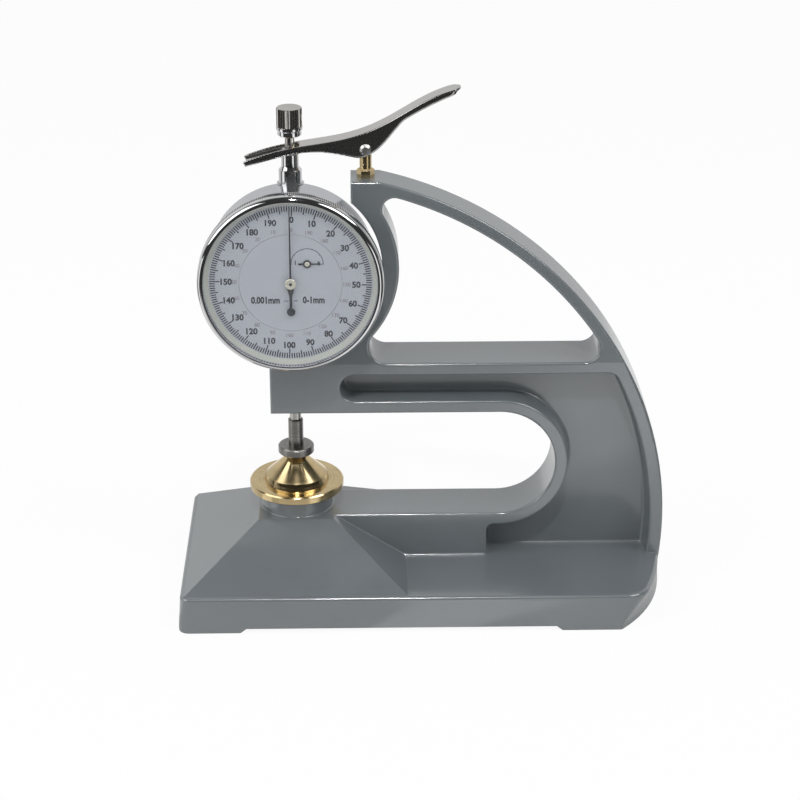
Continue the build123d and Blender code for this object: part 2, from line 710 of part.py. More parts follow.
with BuildPart() as indicator_case:
    with BuildSketch(dial_section):
        with BuildLine():
            shoulder_middle = (case_shoulder + 0.62 * (case_back - case_shoulder),
                               case_back_radius + 0.62 * (case_radius - case_back_radius))
            Polyline((case_shoulder, case_radius), (case_front, case_radius), (case_front, 0), (case_back, 0),
                     (case_back, case_back_radius))
            ThreePointArc((case_back, case_back_radius), shoulder_middle, (case_shoulder, case_radius))
        make_face()
    revolve(axis=dial_axis)
    # Necks that carry the stem and the sleeve
    rod(level(dial_height - case_radius), stem_neck_radius, 2 * case_radius)
    # Room for the movement, ledge for the rear plate, wall with the recess for the cover
    turn_dial([(case_front - 1, 0), (case_front - 1, inner_radius), (rear_plate_back, inner_radius),
               (rear_plate_back, ledge_radius), (wall_front, ledge_radius), (wall_front, back_opening_radius),
               (cover_front, back_opening_radius), (cover_front, cover_radius + seated),
               (case_back + 1, cover_radius + seated), (case_back + 1, 0)], Mode.SUBTRACT)
    # Groove for the bezel's spring ring
    groove_front = wire_middle - wire_height / 2 - running
    groove_back = wire_middle + wire_height / 2 + running
    turn_dial([(groove_front, wire_seat_radius), (groove_back, wire_seat_radius),
               (groove_back, case_radius + 1), (groove_front, case_radius + 1)], Mode.SUBTRACT)
    # Bores on the measuring axis
    rod(level(dial_height - case_radius - 1), stem_radius + seated, case_wall + 1, Mode.SUBTRACT)
    rod(level(dial_height + inner_radius), sleeve_radius + seated, case_wall + 1, Mode.SUBTRACT)
    rod(level(dial_height - case_radius), spindle_way, 2 * case_radius, Mode.SUBTRACT)
    # Tapped holes for the cover's and the rear plate's screws
    for angle in cover_screw_angles:
        rod(around_dial(case_back, cover_screw_circle, angle), small_screw_radius + seated,
            case_back - wall_front, Mode.SUBTRACT)
    for angle in plate_screw_angles:
        rod(around_dial(rear_plate_back + plate_screw_grip, plate_screw_circle, angle),
            small_screw_radius + seated, plate_screw_grip, Mode.SUBTRACT)
save(indicator_case, "indicator_case")

with BuildPart() as back_cover:
    turn_dial([(cover_front, 0), (cover_front, cover_radius), (case_back, cover_radius),
               (case_back, cover_dome_radius), (case_back + cover_dome, cover_dome_radius - cover_dome),
               (case_back + cover_dome, 0)])
    for angle in cover_screw_angles:
        rod(around_dial(case_back + 1, cover_screw_circle, angle), small_screw_radius + seated,
            cover_recess + 2, Mode.SUBTRACT)
save(back_cover, "back_cover")

with BuildPart() as back_cover_screws:
    for angle in cover_screw_angles:
        small_screw(case_back, cover_screw_circle, angle, case_back - wall_front - face_gap, 1)
save(back_cover_screws, "back_cover_screws")


# Bezel, spring ring, crystal and dial
dial_ring_back = dial_front + dial_ring_thickness


def mouth_radius(depth):
    """Radius of the bezel's flared inner wall at a depth."""
    share = (depth - dial_front) / (bezel_front - dial_front)
    return bezel_throat_radius + share * (bezel_mouth_radius - bezel_throat_radius)


with BuildPart() as bezel:
    with BuildSketch(dial_section):
        with BuildLine():
            Polyline((bezel_front, bezel_lip_radius), (bezel_front, bezel_mouth_radius),
                     (dial_front, bezel_throat_radius), (dial_front, bezel_bore_radius),
                     (bezel_back, bezel_bore_radius), (bezel_back, bezel_radius - rim_chamfer),
                     (bezel_back - rim_chamfer, bezel_radius), (bezel_grip_front, bezel_radius))
            ThreePointArc((bezel_grip_front, bezel_radius), (bezel_crown_depth, bezel_crown_radius),
                          (bezel_front, bezel_lip_radius))
        make_face()
    revolve(axis=dial_axis)
save(bezel, "bezel")

with BuildPart() as bezel_spring:
    turn([(wire_middle - wire_height / 2, wire_seat_radius + running),
          (wire_middle + wire_height / 2, wire_seat_radius + running),
          (wire_middle + wire_height / 2, bezel_bore_radius - running),
          (wire_middle - wire_height / 2, bezel_bore_radius - running)],
         dial_section, dial_axis, arc=spring_ring_arc)
save(bezel_spring, "bezel_spring")

def dome_middle(rim_depth, radius, rise):
    """Half-way point of a spherical dome's section."""
    sphere = (radius**2 + rise**2) / (2 * rise)
    return (rim_depth - rise + sphere - sqrt(sphere**2 - (radius / 2) ** 2), radius / 2)


with BuildPart() as crystal:
    crystal_front = crystal_back - crystal_thickness
    rim_back = mouth_radius(crystal_back) - seated
    rim_front = mouth_radius(crystal_front) - seated
    with BuildSketch(dial_section):
        with BuildLine():
            ThreePointArc((crystal_back, rim_back), dome_middle(crystal_back, rim_back, crystal_rise),
                          (crystal_back - crystal_rise, 0))
            Line((crystal_back - crystal_rise, 0), (crystal_front - crystal_rise, 0))
            ThreePointArc((crystal_front - crystal_rise, 0), dome_middle(crystal_front, rim_front, crystal_rise),
                          (crystal_front, rim_front))
            Line((crystal_front, rim_front), (crystal_back, rim_back))
        make_face()
    revolve(axis=dial_axis)
save(crystal, "crystal")

with BuildPart() as dial_ring:
    turn_dial([(dial_front, dial_centre_radius + face_gap), (dial_front, bezel_bore_radius - seated),
               (dial_ring_back, bezel_bore_radius - seated), (dial_ring_back, dial_centre_radius + face_gap)])
save(dial_ring, "dial_ring")

front_plate_front = front_plate_back - plate_thickness

with BuildPart() as dial_centre:
    rod(facing(dial_front + dial_centre_thickness, dial_height), dial_centre_radius, dial_centre_thickness)
    for side in (-1, 1):
        rod(facing(front_plate_front, dial_height, side * dial_foot_offset), dial_foot_radius,
            front_plate_front - dial_front - dial_centre_thickness)
    rod(facing(0, dial_height), arbor_way, -dial_front + 1, Mode.SUBTRACT)
    rod(facing(0, dial_height + counter_offset[1], counter_offset[0]), arbor_way, -dial_front + 1, Mode.SUBTRACT)
save(dial_centre, "dial_centre")


# Movement: where the arbors stand, from the dial's middle, and how their teeth mesh
def third_corner(first, first_reach, second, second_reach):
    """Corner of a triangle on the left of the line from its first corner to its second."""
    span_x, span_z = second[0] - first[0], second[1] - first[1]
    span = hypot(span_x, span_z)
    along = (span**2 + first_reach**2 - second_reach**2) / (2 * span)
    aside = sqrt(first_reach**2 - along**2)
    return (first[0] + (along * span_x - aside * span_z) / span,
            first[1] + (along * span_z + aside * span_x) / span)


def bearing(start, end):
    """Direction from one arbor to another, in degrees."""
    return degrees(atan2(end[1] - start[1], end[0] - start[0]))


def meshed(phase, teeth, other_teeth, direction):
    """Direction of a tooth of the other gear that meshes with a gear standing at a phase."""
    lag = (direction - phase) % (360 / teeth)
    return direction + 180 + lag * teeth / other_teeth + 180 / other_teeth


centre_place = (0.0, 0.0)
counter_distance = hypot(*counter_offset)
fine_module = 2 * counter_distance / (centre_teeth + counter_teeth)
second_distance = fine_module * (second_teeth + centre_teeth) / 2
takeup_distance = fine_module * (takeup_teeth + centre_teeth) / 2
first_place = (first_x, -first_drop)
first_distance = first_module * (first_teeth + second_pinion_teeth) / 2
second_place = third_corner(first_place, first_distance, centre_place, second_distance)
takeup_place = polar(takeup_distance, takeup_angle)

rack_pinion_phase = 180 + 180 / rack_pinion_teeth
first_phase = bearing(first_place, second_place)
second_pinion_phase = meshed(first_phase, first_teeth, second_pinion_teeth, first_phase)
second_phase = bearing(second_place, centre_place)
centre_phase = meshed(second_phase, second_teeth, centre_teeth, second_phase)
counter_phase = meshed(centre_phase, centre_teeth, counter_teeth, bearing(centre_place, counter_offset))
takeup_phase = meshed(centre_phase, centre_teeth, takeup_teeth, takeup_angle)


def arbor_plane(place, depth):
    """Plane facing the front, at an arbor's place in the movement."""
    return facing(depth, dial_height + place[1], place[0])


def turn_arbor(place, section):
    """Turned piece on an arbor's axis, corners as (depth, radius)."""
    middle = (spindle_x + place[0], 0, dial_height + place[1])
    turn(section, Plane(origin=middle, x_dir=(0, 1, 0), z_dir=(1, 0, 0)), Axis(middle, (0, 1, 0)))


def toothed(place, back, thickness, teeth, module, phase, bore=0.0):
    """Spur gear of straight-sided teeth with backlash, one tooth in the direction of its phase."""
    pitch_radius = teeth * module / 2
    tip, root = pitch_radius + addendum_share * module, pitch_radius - dedendum_share * module
    half_pitch_tooth = tooth_share * 180 / teeth
    slope = degrees(flank_slope * module / pitch_radius)
    half_tip = half_pitch_tooth - addendum_share * slope
    half_root = half_pitch_tooth + dedendum_share * slope
    corners = []
    for tooth in range(teeth):
        middle = phase + 360 * tooth / teeth
        corners += [polar(root, middle - half_root), polar(tip, middle - half_tip),
                    polar(tip, middle + half_tip), polar(root, middle + half_root)]
    with BuildSketch(arbor_plane(place, back)) as teeth_face:
        with BuildLine():
            Polyline(*corners, close=True)
        make_face()
        if bore:
            Circle(bore, mode=Mode.SUBTRACT)
    extrude(teeth_face.sketch, amount=thickness)


def plain_arbor(front, back, front_reach, back_reach, place):
    """Arbor with a pivot at each end; the reaches are how far the pivots go past the shoulders."""
    turn_arbor(place, [(front - front_reach, 0), (front - front_reach, pivot_radius), (front, pivot_radius),
                       (front, arbor_radius), (back, arbor_radius), (back, pivot_radius),
                       (back + back_reach, pivot_radius), (back + back_reach, 0)])


arbor_front = front_plate_back + face_gap
arbor_back = rear_plate_front - face_gap
hub_bore = arbor_radius + seated
pivot_hole = pivot_radius + running
pillar_places = [polar(pillar_circle, angle) for angle in pillar_angles]

with BuildPart() as rear_plate:
    rod(arbor_plane(centre_place, rear_plate_back), rear_plate_radius, plate_thickness)
    for place in (centre_place, second_place, takeup_place, counter_offset):
        rod(arbor_plane(place, 0), pivot_hole, -rear_plate_front + 1, Mode.SUBTRACT)
    rod(arbor_plane(first_place, 0), first_arbor_radius + running, -rear_plate_front + 1, Mode.SUBTRACT)
    for place in pillar_places:
        rod(arbor_plane(place, 0), small_screw_radius + seated, -rear_plate_front + 1, Mode.SUBTRACT)
    for angle in plate_screw_angles:
        rod(around_dial(0, plate_screw_circle, angle), small_screw_radius + seated, -rear_plate_front + 1,
            Mode.SUBTRACT)
save(rear_plate, "rear_plate")

with BuildPart() as front_plate:
    rod(arbor_plane(centre_place, front_plate_back), front_plate_radius, plate_thickness)
    rod(arbor_plane(centre_place, 0), front_arbor_radius + running, -front_plate_front + 1, Mode.SUBTRACT)
    rod(arbor_plane(counter_offset, 0), front_arbor_radius + running, -front_plate_front + 1, Mode.SUBTRACT)
    for place in (first_place, second_place, takeup_place):
        rod(arbor_plane(place, 0), pivot_hole, -front_plate_front + 1, Mode.SUBTRACT)
    for place in pillar_places:
        rod(arbor_plane(place, 0), small_screw_radius + seated, -front_plate_front + 1, Mode.SUBTRACT)
save(front_plate, "front_plate")

with BuildPart() as plate_pillars:
    for place in pillar_places:
        turn_arbor(place, [(front_plate_back, 0), (front_plate_back, pillar_radius),
                           (rear_plate_front, pillar_radius), (rear_plate_front, small_screw_radius),
                           (rear_plate_back, small_screw_radius), (rear_plate_back, 0)])
        rod(arbor_plane(place, front_plate_back + pillar_tap_depth), small_screw_radius + seated,
            pillar_tap_depth, Mode.SUBTRACT)
save(plate_pillars, "plate_pillars")

with BuildPart() as front_plate_screws:
    for angle in pillar_angles:
        small_screw(front_plate_front, pillar_circle, angle, plate_thickness + pillar_tap_depth - face_gap, -1)
save(front_plate_screws, "front_plate_screws")

with BuildPart() as rear_plate_screws:
    for angle in plate_screw_angles:
        small_screw(rear_plate_front, plate_screw_circle, angle, plate_thickness + plate_screw_grip - face_gap, -1)
save(rear_plate_screws, "rear_plate_screws")

with BuildPart() as rear_cock:
    cock_back = cock_front + plate_thickness
    cock_foot_x = cock_length - cock_foot / 2
    with BuildSketch(facing(cock_back, first_height)):
        with Locations((cock_start, 0)):
            Rectangle(cock_length - cock_start, cock_width, align=(Align.MIN, Align.CENTER))
        fillet(vertices(), cock_width / 4)
    extrude(amount=plate_thickness)
    with BuildSketch(facing(cock_back, first_height)):
        with Locations((cock_foot_x, 0)):
            Rectangle(cock_foot, cock_width)
    extrude(amount=cock_back - rear_plate_back)
    rod(arbor_plane(first_place, cock_back), pivot_hole, plate_thickness, Mode.SUBTRACT)
save(rear_cock, "rear_cock")

with BuildPart() as first_arbor:
    cock_reach = plate_thickness - face_gap
    turn_arbor(first_place, [(front_plate_front + face_gap, 0), (front_plate_front + face_gap, pivot_radius),
                             (arbor_front, pivot_radius), (arbor_front, first_arbor_radius),
                             (cock_front - face_gap, first_arbor_radius), (cock_front - face_gap, pivot_radius),
                             (cock_front + cock_reach, pivot_radius), (cock_front + cock_reach, 0)])
    toothed(first_place, rack_pinion_length / 2, rack_pinion_length, rack_pinion_teeth, rack_module,
            rack_pinion_phase)
save(first_arbor, "first_arbor")

with BuildPart() as first_gear:
    toothed(first_place, first_gear_back, gear_thickness, first_teeth, first_module, first_phase,
            first_arbor_radius + seated)
save(first_gear, "first_gear")

with BuildPart() as second_arbor:
    pivot_reach = plate_thickness - face_gap
    plain_arbor(arbor_front, arbor_back, pivot_reach, pivot_reach, second_place)
    toothed(second_place, first_gear_back + gear_thickness, 3 * gear_thickness, second_pinion_teeth,
            first_module, second_pinion_phase)
save(second_arbor, "second_arbor")

with BuildPart() as second_gear:
    toothed(second_place, second_gear_back, gear_thickness, second_teeth, fine_module, second_phase, hub_bore)
save(second_gear, "second_gear")

with BuildPart() as centre_arbor:
    turn_arbor(centre_place, [(pointer_hub_front, 0), (pointer_hub_front, front_arbor_radius),
                              (arbor_front, front_arbor_radius), (arbor_front, arbor_radius),
                              (arbor_back, arbor_radius), (arbor_back, pivot_radius),
                              (arbor_back + plate_thickness, pivot_radius), (arbor_back + plate_thickness, 0)])
    pinion_back = counter_gear_back + gear_thickness
    toothed(centre_place, pinion_back, pinion_back - second_gear_back + 2 * gear_thickness, centre_teeth,
            fine_module, centre_phase)
save(centre_arbor, "centre_arbor")

with BuildPart() as counter_arbor:
    counter_front = small_pointer_back - small_pointer_thickness
    turn_arbor(counter_offset, [(counter_front, 0), (counter_front, front_arbor_radius),
                                (arbor_front, front_arbor_radius), (arbor_front, arbor_radius),
                                (arbor_back, arbor_radius), (arbor_back, pivot_radius),
                                (arbor_back + plate_thickness, pivot_radius), (arbor_back + plate_thickness, 0)])
save(counter_arbor, "counter_arbor")

with BuildPart() as counter_gear:
    toothed(counter_offset, counter_gear_back, gear_thickness, counter_teeth, fine_module, counter_phase, hub_bore)
save(counter_gear, "counter_gear")

with BuildPart() as takeup_arbor:
    plain_arbor(arbor_front, arbor_back, pivot_reach, pivot_reach, takeup_place)
save(takeup_arbor, "takeup_arbor")

with BuildPart() as takeup_gear:
    toothed(takeup_place, takeup_gear_back, gear_thickness, takeup_teeth, fine_module, takeup_phase, hub_bore)
save(takeup_gear, "takeup_gear")

# Hairspring round the take-up arbor, with its stud on the rear plate
hairspring_inner = arbor_radius + hairspring_clearance
hairspring_outer = hairspring_inner + hairspring_turns * hairspring_pitch
with BuildPart() as hairspring:
    steps = [step / hairspring_steps for step in range(hairspring_turns * hairspring_steps + 1)]
    inner_edge = [polar(hairspring_inner + hairspring_pitch * part, 360 * part) for part in steps]
    outer_edge = [polar(hairspring_inner + hairspring_pitch * part + hairspring_strip, 360 * part)
                  for part in reversed(steps)]
    with BuildSketch(arbor_plane(takeup_place, hairspring_back)):
        with BuildLine():
            Polyline(*inner_edge, *outer_edge, close=True)
        make_face()
    extrude(amount=hairspring_width)
save(hairspring, "hairspring")

with BuildPart() as hairspring_stud:
    stud_x = takeup_place[0] + hairspring_outer + hairspring_strip + stud_radius
    rod(arbor_plane((stud_x, takeup_place[1]), rear_plate_front), stud_radius,
        rear_plate_front - hairspring_back + hairspring_width)
save(hairspring_stud, "hairspring_stud")


# Behind the rear plate: guide for the spindle's pin, return spring and its anchor
with BuildPart() as guide_rail:
    rail_x = -(spring_offset + spring_radius + rail_clearance)
    with BuildSketch(facing(guide_radius + rail_wall, guide_z)):
        with Locations((rail_x, travel / 2)):
            Rectangle(rail_depth, rail_length, align=(Align.MAX, Align.CENTER))
    extrude(amount=guide_radius + rail_wall - rear_plate_back)
    with BuildSketch(facing(guide_radius + running, guide_z)):
        with Locations((rail_x, travel / 2)):
            Rectangle(rail_groove, rail_length, align=(Align.MAX, Align.CENTER))
    extrude(amount=2 * (guide_radius + running), mode=Mode.SUBTRACT)
save(guide_rail, "guide_rail")

spring_top = guide_z - guide_radius - face_gap
with BuildPart() as return_spring:
    coil = spring_length / spring_coils
    wavy = []
    for turn_number in range(spring_coils):
        foot = spring_top - spring_length + turn_number * coil
        wavy += [(spring_radius - spring_wire / 2, foot), (spring_radius, foot + coil / 2)]
    wavy.append((spring_radius - spring_wire / 2, spring_top))
    hollow = spring_radius - 2 * spring_wire
    spring_line = Plane(origin=(spindle_x - spring_offset, 0, 0), x_dir=(1, 0, 0), z_dir=(0, -1, 0))
    turn([*wavy, (hollow, spring_top), (hollow, spring_top - spring_length)], spring_line,
         Axis((spindle_x - spring_offset, 0, 0), (0, 0, 1)))
save(return_spring, "return_spring")

with BuildPart() as spring_anchor:
    anchor_z = spring_top - spring_length - face_gap - guide_radius - dial_height
    rod(arbor_plane((-spring_offset, anchor_z), spring_radius), guide_radius, spring_radius - rear_plate_back)
save(spring_anchor, "spring_anchor")


# Pointers
with BuildPart() as main_pointer:
    hub_bore = front_arbor_radius + seated
    with BuildSketch(arbor_plane(centre_place, pointer_back)):
        with BuildLine():
            Polyline((-pointer_root, 0), (-pointer_tip, pointer_length), (pointer_tip, pointer_length),
                     (pointer_root, 0), (pointer_hub_radius * 0.7, -pointer_hub_radius * 0.7),
                     (pointer_waist, -pointer_waist_at), (pointer_waist, pointer_blob - pointer_tail),
                     (-pointer_waist, pointer_blob - pointer_tail), (-pointer_waist, -pointer_waist_at),
                     (-pointer_hub_radius * 0.7, -pointer_hub_radius * 0.7), close=True)
        make_face()
        with Locations((0, pointer_blob - pointer_tail)):
            Circle(pointer_blob)
        Circle(pointer_hub_radius * 0.8)
        Circle(hub_bore, mode=Mode.SUBTRACT)
    extrude(amount=pointer_thickness)
save(main_pointer, "main_pointer")

with BuildPart() as pointer_hub:
    hub_back = pointer_back - pointer_thickness
    rod(arbor_plane(centre_place, hub_back), pointer_hub_radius, hub_back - pointer_hub_front)
    rod(arbor_plane(centre_place, 0), hub_bore, -pointer_hub_front, Mode.SUBTRACT)
    chamfer(pointer_hub.edges().group_by(Axis.Y)[0].sort_by(SortBy.RADIUS)[-1], pointer_thickness)
save(pointer_hub, "pointer_hub")

with BuildPart() as small_pointer:
    with BuildSketch(arbor_plane(counter_offset, small_pointer_back)):
        with BuildLine():
            Polyline((0, -small_pointer_root), (small_pointer_length, -small_pointer_tip),
                     (small_pointer_length, small_pointer_tip), (0, small_pointer_root),
                     (-small_pointer_tail, small_pointer_root), (-small_pointer_tail, -small_pointer_root),
                     close=True)
        make_face()
        Circle(small_pointer_hub_radius)
        Circle(hub_bore, mode=Mode.SUBTRACT)
    extrude(amount=small_pointer_thickness)
save(small_pointer, "small_pointer")


# Lift lever with its post and rivet
post_top = pivot_height + post_radius

with BuildPart() as lever_post:
    with BuildSketch(level(pad_top, post_x)):
        RegularPolygon(post_hexagon / 2, 6, major_radius=False)
    extrude(amount=post_collar)
    chamfer(lever_post.faces().sort_by(Axis.Z)[-1].edges(), post_chamfer)
    rod(level(pad_top + post_collar, post_x), post_radius, post_top - pad_top - post_collar)
    rod(level(pad_top - post_thread_length, post_x), post_thread_radius, post_thread_length)
    rod(facing(post_radius, pivot_height, post_x), rivet_radius + seated, 2 * post_radius, Mode.SUBTRACT)
save(lever_post, "lever_post")

with BuildPart() as pivot_rivet:
    rivet_seat = lever_half_width + face_gap
    middle = (spindle_x + post_x, 0, pivot_height)
    turn([(-rivet_seat - rivet_head, 0), (-rivet_seat - rivet_head, 0.6 * rivet_head_radius),
          (-rivet_seat, rivet_head_radius), (-rivet_seat, rivet_radius), (rivet_seat, rivet_radius),
          (rivet_seat, rivet_head_radius), (rivet_seat + rivet_head, 0.6 * rivet_head_radius),
          (rivet_seat + rivet_head, 0)],
         Plane(origin=middle, x_dir=(0, 1, 0), z_dir=(1, 0, 0)), Axis(middle, (0, 1, 0)))
save(pivot_rivet, "pivot_rivet")

with BuildPart() as lift_lever:
    # Side outline, extruded over the whole width
    with BuildSketch(facing(lever_half_width, pivot_height)):
        with BuildLine():
            Spline(*lever_top)
            Line(lever_top[-1], lever_tail[-1])
            Spline(*lever_tail)
            Spline(*lever_heel)
            Spline(*lever_belly)
            Line(lever_belly[0], lever_top[0])
        make_face()
    extrude(amount=2 * lever_half_width)

    # Seen from above the tail is rounded and the prongs taper a little
    lever_length = lever_top[-1][0] - lever_top[0][0]
    with BuildSketch(level(0)):
        with Locations((lever_top[0][0], 0)):
            Rectangle(lever_length, 2 * lever_half_width, align=(Align.MIN, Align.CENTER))
        fillet(vertices().group_by(Axis.X)[-1], lever_half_width - seated)
    extrude(amount=2 * dial_height, mode=Mode.INTERSECT)

    # Inside of the channel: below the top plate behind the fork, and right through between its prongs
    with BuildSketch(facing(lever_half_width - lever_plate, pivot_height)):
        with BuildLine():
            inside = [(x, z - lever_plate) for x, z in lever_top]
            Spline(*inside)
            below = lever_belly[0][1] - lever_half_width
            Polyline(inside[-1], (inside[-1][0], below), (inside[0][0], below), inside[0])
        make_face()
    extrude(amount=2 * (lever_half_width - lever_plate), mode=Mode.SUBTRACT)
    fork_width = lever_half_width - lever_plate
    with BuildSketch(level(0)):
        with Locations((lever_top[0][0] - 1, 0)):
            Rectangle(fork_end - lever_top[0][0] + 1, 2 * fork_width, align=(Align.MIN, Align.CENTER))
    extrude(amount=2 * dial_height, mode=Mode.SUBTRACT)
    rod(facing(lever_half_width, pivot_height, post_x), rivet_radius + running, 2 * lever_half_width,
        Mode.SUBTRACT)
save(lift_lever, "lift_lever")
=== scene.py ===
"""Bench dial thickness gauge: finishes, printed dial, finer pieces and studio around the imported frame."""

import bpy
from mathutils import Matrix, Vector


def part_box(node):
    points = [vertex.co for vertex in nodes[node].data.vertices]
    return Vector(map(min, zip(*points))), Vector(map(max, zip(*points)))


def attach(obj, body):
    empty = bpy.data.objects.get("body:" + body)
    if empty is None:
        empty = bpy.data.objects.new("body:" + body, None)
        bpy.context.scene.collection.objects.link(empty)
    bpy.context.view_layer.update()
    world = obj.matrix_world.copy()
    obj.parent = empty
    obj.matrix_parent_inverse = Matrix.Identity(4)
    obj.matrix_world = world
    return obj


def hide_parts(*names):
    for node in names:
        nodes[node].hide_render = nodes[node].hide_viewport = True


bl_info = {
    "name": "Bench Thickness Gauge",
    "version": (1, 0, 0),
    "blender": (4, 5, 0),
    "location": "3D View > Sidebar > Gauge",
    "description": "Dresses a bench dial thickness gauge: enamel, plating, printed dial and studio",
    "category": "Add Mesh",
}

from math import cos, pi, radians, sin

import bmesh
import bpy
import numpy as np
from bpy.props import FloatProperty, FloatVectorProperty, IntProperty, PointerProperty
from bpy.types import Operator, Panel, PropertyGroup
from mathutils import Matrix, Vector

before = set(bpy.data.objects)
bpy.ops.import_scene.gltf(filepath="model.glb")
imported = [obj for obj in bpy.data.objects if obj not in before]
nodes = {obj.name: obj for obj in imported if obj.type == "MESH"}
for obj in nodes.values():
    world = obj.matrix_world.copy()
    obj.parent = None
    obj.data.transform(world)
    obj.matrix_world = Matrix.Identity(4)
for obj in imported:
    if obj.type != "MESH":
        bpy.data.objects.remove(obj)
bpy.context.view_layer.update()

MM = 0.001
TAU = 2 * pi


def middle(node):
    """Middle of a node's box at rest."""
    low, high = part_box(node)
    return (low + high) / 2


dial_middle = middle("bezel")
dial_x = dial_middle.x
dial_z = dial_middle.z
dial_face_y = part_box("dial_ring")[0].y
bezel_radius = (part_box("bezel")[1].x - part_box("bezel")[0].x) / 2


# Sizes and colours that a user would change

def colour(name, description, default):
    """Colour property in linear RGB."""
    return FloatVectorProperty(name=name, description=description, default=default, size=3,
                               min=0.0, max=1.0, subtype="COLOR")


def length(name, description, millimetres):
    """Length property in metres, its default given in millimetres."""
    return FloatProperty(name=name, description=description, default=millimetres * MM, min=0.0,
                         precision=5, subtype="DISTANCE", unit="LENGTH")


def angle(name, description, degrees):
    """Angle property in radians, its default given in degrees."""
    return FloatProperty(name=name, description=description, default=radians(degrees),
                         subtype="ANGLE", unit="ROTATION")


def share(name, description, default):
    """Share between nothing and one."""
    return FloatProperty(name=name, description=description, default=default, min=0.0, max=1.0,
                         subtype="FACTOR")


def strength(name, description, default):
    """Strength or power, not below nothing."""
    return FloatProperty(name=name, description=description, default=default, min=0.0)


class CastingSettings(PropertyGroup):
    paint: colour("Paint", "Colour of the sprayed enamel", (0.143, 0.163, 0.173))
    # The paler edge colour stands partly for worn enamel and partly for a painted highlight where edges
    # catch the light.
    paint_worn: colour("Worn edge", "Colour of the enamel rubbed thin on the edges", (0.30, 0.32, 0.33))
    gloss: share("Roughness", "Mean roughness of the enamel", 0.40)
    peel_size: length("Orange peel", "Size of the ripples in the sprayed enamel", 0.7)
    edge_width: length("Edge width", "Width of the rubbed band along the edges", 0.9)
    rounding: length("Rounding", "Radius that the enamel gives to sharp edges", 0.7)
    coat: share("Gloss coat", "Share of the clear gloss over the enamel", 0.9)


class MetalSettings(PropertyGroup):
    chrome: colour("Chrome", "Colour of the plated pieces", (0.80, 0.80, 0.81))
    steel: colour("Steel", "Colour of the ground steel pieces", (0.60, 0.58, 0.55))
    brass: colour("Brass", "Colour of the turned brass", (0.74, 0.58, 0.32))
    lacquer: colour("Case lacquer", "Colour of the indicator's case", (0.55, 0.56, 0.59))
    cast: colour("Cast plate", "Colour of the lever's plated casting", (0.58, 0.57, 0.56))
    ribs: IntProperty(name="Bezel ribs", description="Ribs of the knurl round the bezel", default=300,
                      min=60, max=600)
    rib_depth: length("Rib depth", "Depth of the bezel's knurl", 0.4)
    turning_pitch: length("Turning marks", "Distance from one turning mark to the next", 0.22)


class DialSettings(PropertyGroup):
    face: colour("Face", "Colour of the dial's paint", (0.355, 0.38, 0.425))
    ink: colour("Ink", "Colour of the main scale", (0.012, 0.013, 0.016))
    second_ink: colour("Second ink", "Colour of the counter-clockwise numerals", (0.13, 0.095, 0.105))
    divisions: IntProperty(name="Divisions", description="Divisions of the main scale", default=200,
                           min=20, max=400)
    scale_radius: length("Scale radius", "Outer end of the graduation lines", 26.0)
    minor: length("Short line", "Length of a one-division line", 1.75)
    middle: length("Middle line", "Length of a five-division line", 2.5)
    major: length("Long line", "Length of a ten-division line", 3.25)
    line: length("Line width", "Width of a graduation line", 0.38)
    rim: colour("Rim", "Colour of the pale ring round the dial", (0.37, 0.385, 0.35))
    numeral_radius: length("Numeral radius", "Middle of the numerals, measured at the top", 21.5)
    numeral_height: length("Numeral height", "Height of the main numerals", 2.25)
    second_radius: length("Second radius", "Middle of the counter-clockwise numerals", 18.1)
    second_height: length("Second height", "Height of the counter-clockwise numerals", 1.3)
    set_angle: angle("Dial setting", "How far the dial is turned clockwise from upright", 1.8)
    turns_x: length("Turn counter, across", "Middle of the turn counter right of the dial's", 5.4)
    turns_z: length("Turn counter, up", "Middle of the turn counter above the dial's", 6.55)
    print_depth: length("Print thickness", "How far the ink stands up from the face", 0.02)


class StudioSettings(PropertyGroup):
    floor: colour("Floor", "Colour of the floor", (0.90, 0.90, 0.90))
    floor_white: share("Floor white", "How far the camera sees the floor as plain white", 0.93)
    key_power: strength("Key light", "Power of the large left light, in watts", 7.0)
    fill_power: strength("Fill light", "Power of the right light, in watts", 4.8)
    top_power: strength("Top light", "Power of the small overhead light, in watts", 5.0)
    room: strength("Room", "Strength of the room's own light", 0.365)
    # The floor glows with the sheet and the foot of the wall for glossy rays alone: painted reflection.
    sheet_light: strength("Sheet light", "Strength of the pale sheet, as metal shows it", 0.55)
    wall: strength("Wall", "Strength of the pale wall behind, as metal shows it", 0.66)
    dark: strength("Dark side", "Strength of the room in front, as metal shows it", 0.035)
    sheet: length("Sheet", "Half width of the pale sheet under the object, as metal shows it", 170.0)
    camera: FloatVectorProperty(name="Camera", description="Place of the camera", size=3, precision=5,
                                default=(-0.020356, -0.672344, 0.370477), subtype="XYZ", unit="LENGTH")
    yaw: angle("Yaw", "Turn of the camera to the right", 1.087)
    fall: angle("Fall", "How far the camera looks down", 24.326)
    lens: FloatProperty(name="Lens", description="Focal length on a 36 mm sensor", default=98.24,
                        min=10.0, subtype="DISTANCE_CAMERA")


class GaugeSettings(PropertyGroup):
    casting: PointerProperty(type=CastingSettings, name="Casting", description="The casting's enamel")
    metal: PointerProperty(type=MetalSettings, name="Metal", description="Colours of the metals")
    dial: PointerProperty(type=DialSettings, name="Dial", description="Layout of the dial")
    studio: PointerProperty(type=StudioSettings, name="Studio", description="Lights, floor and camera")


# Shader maths

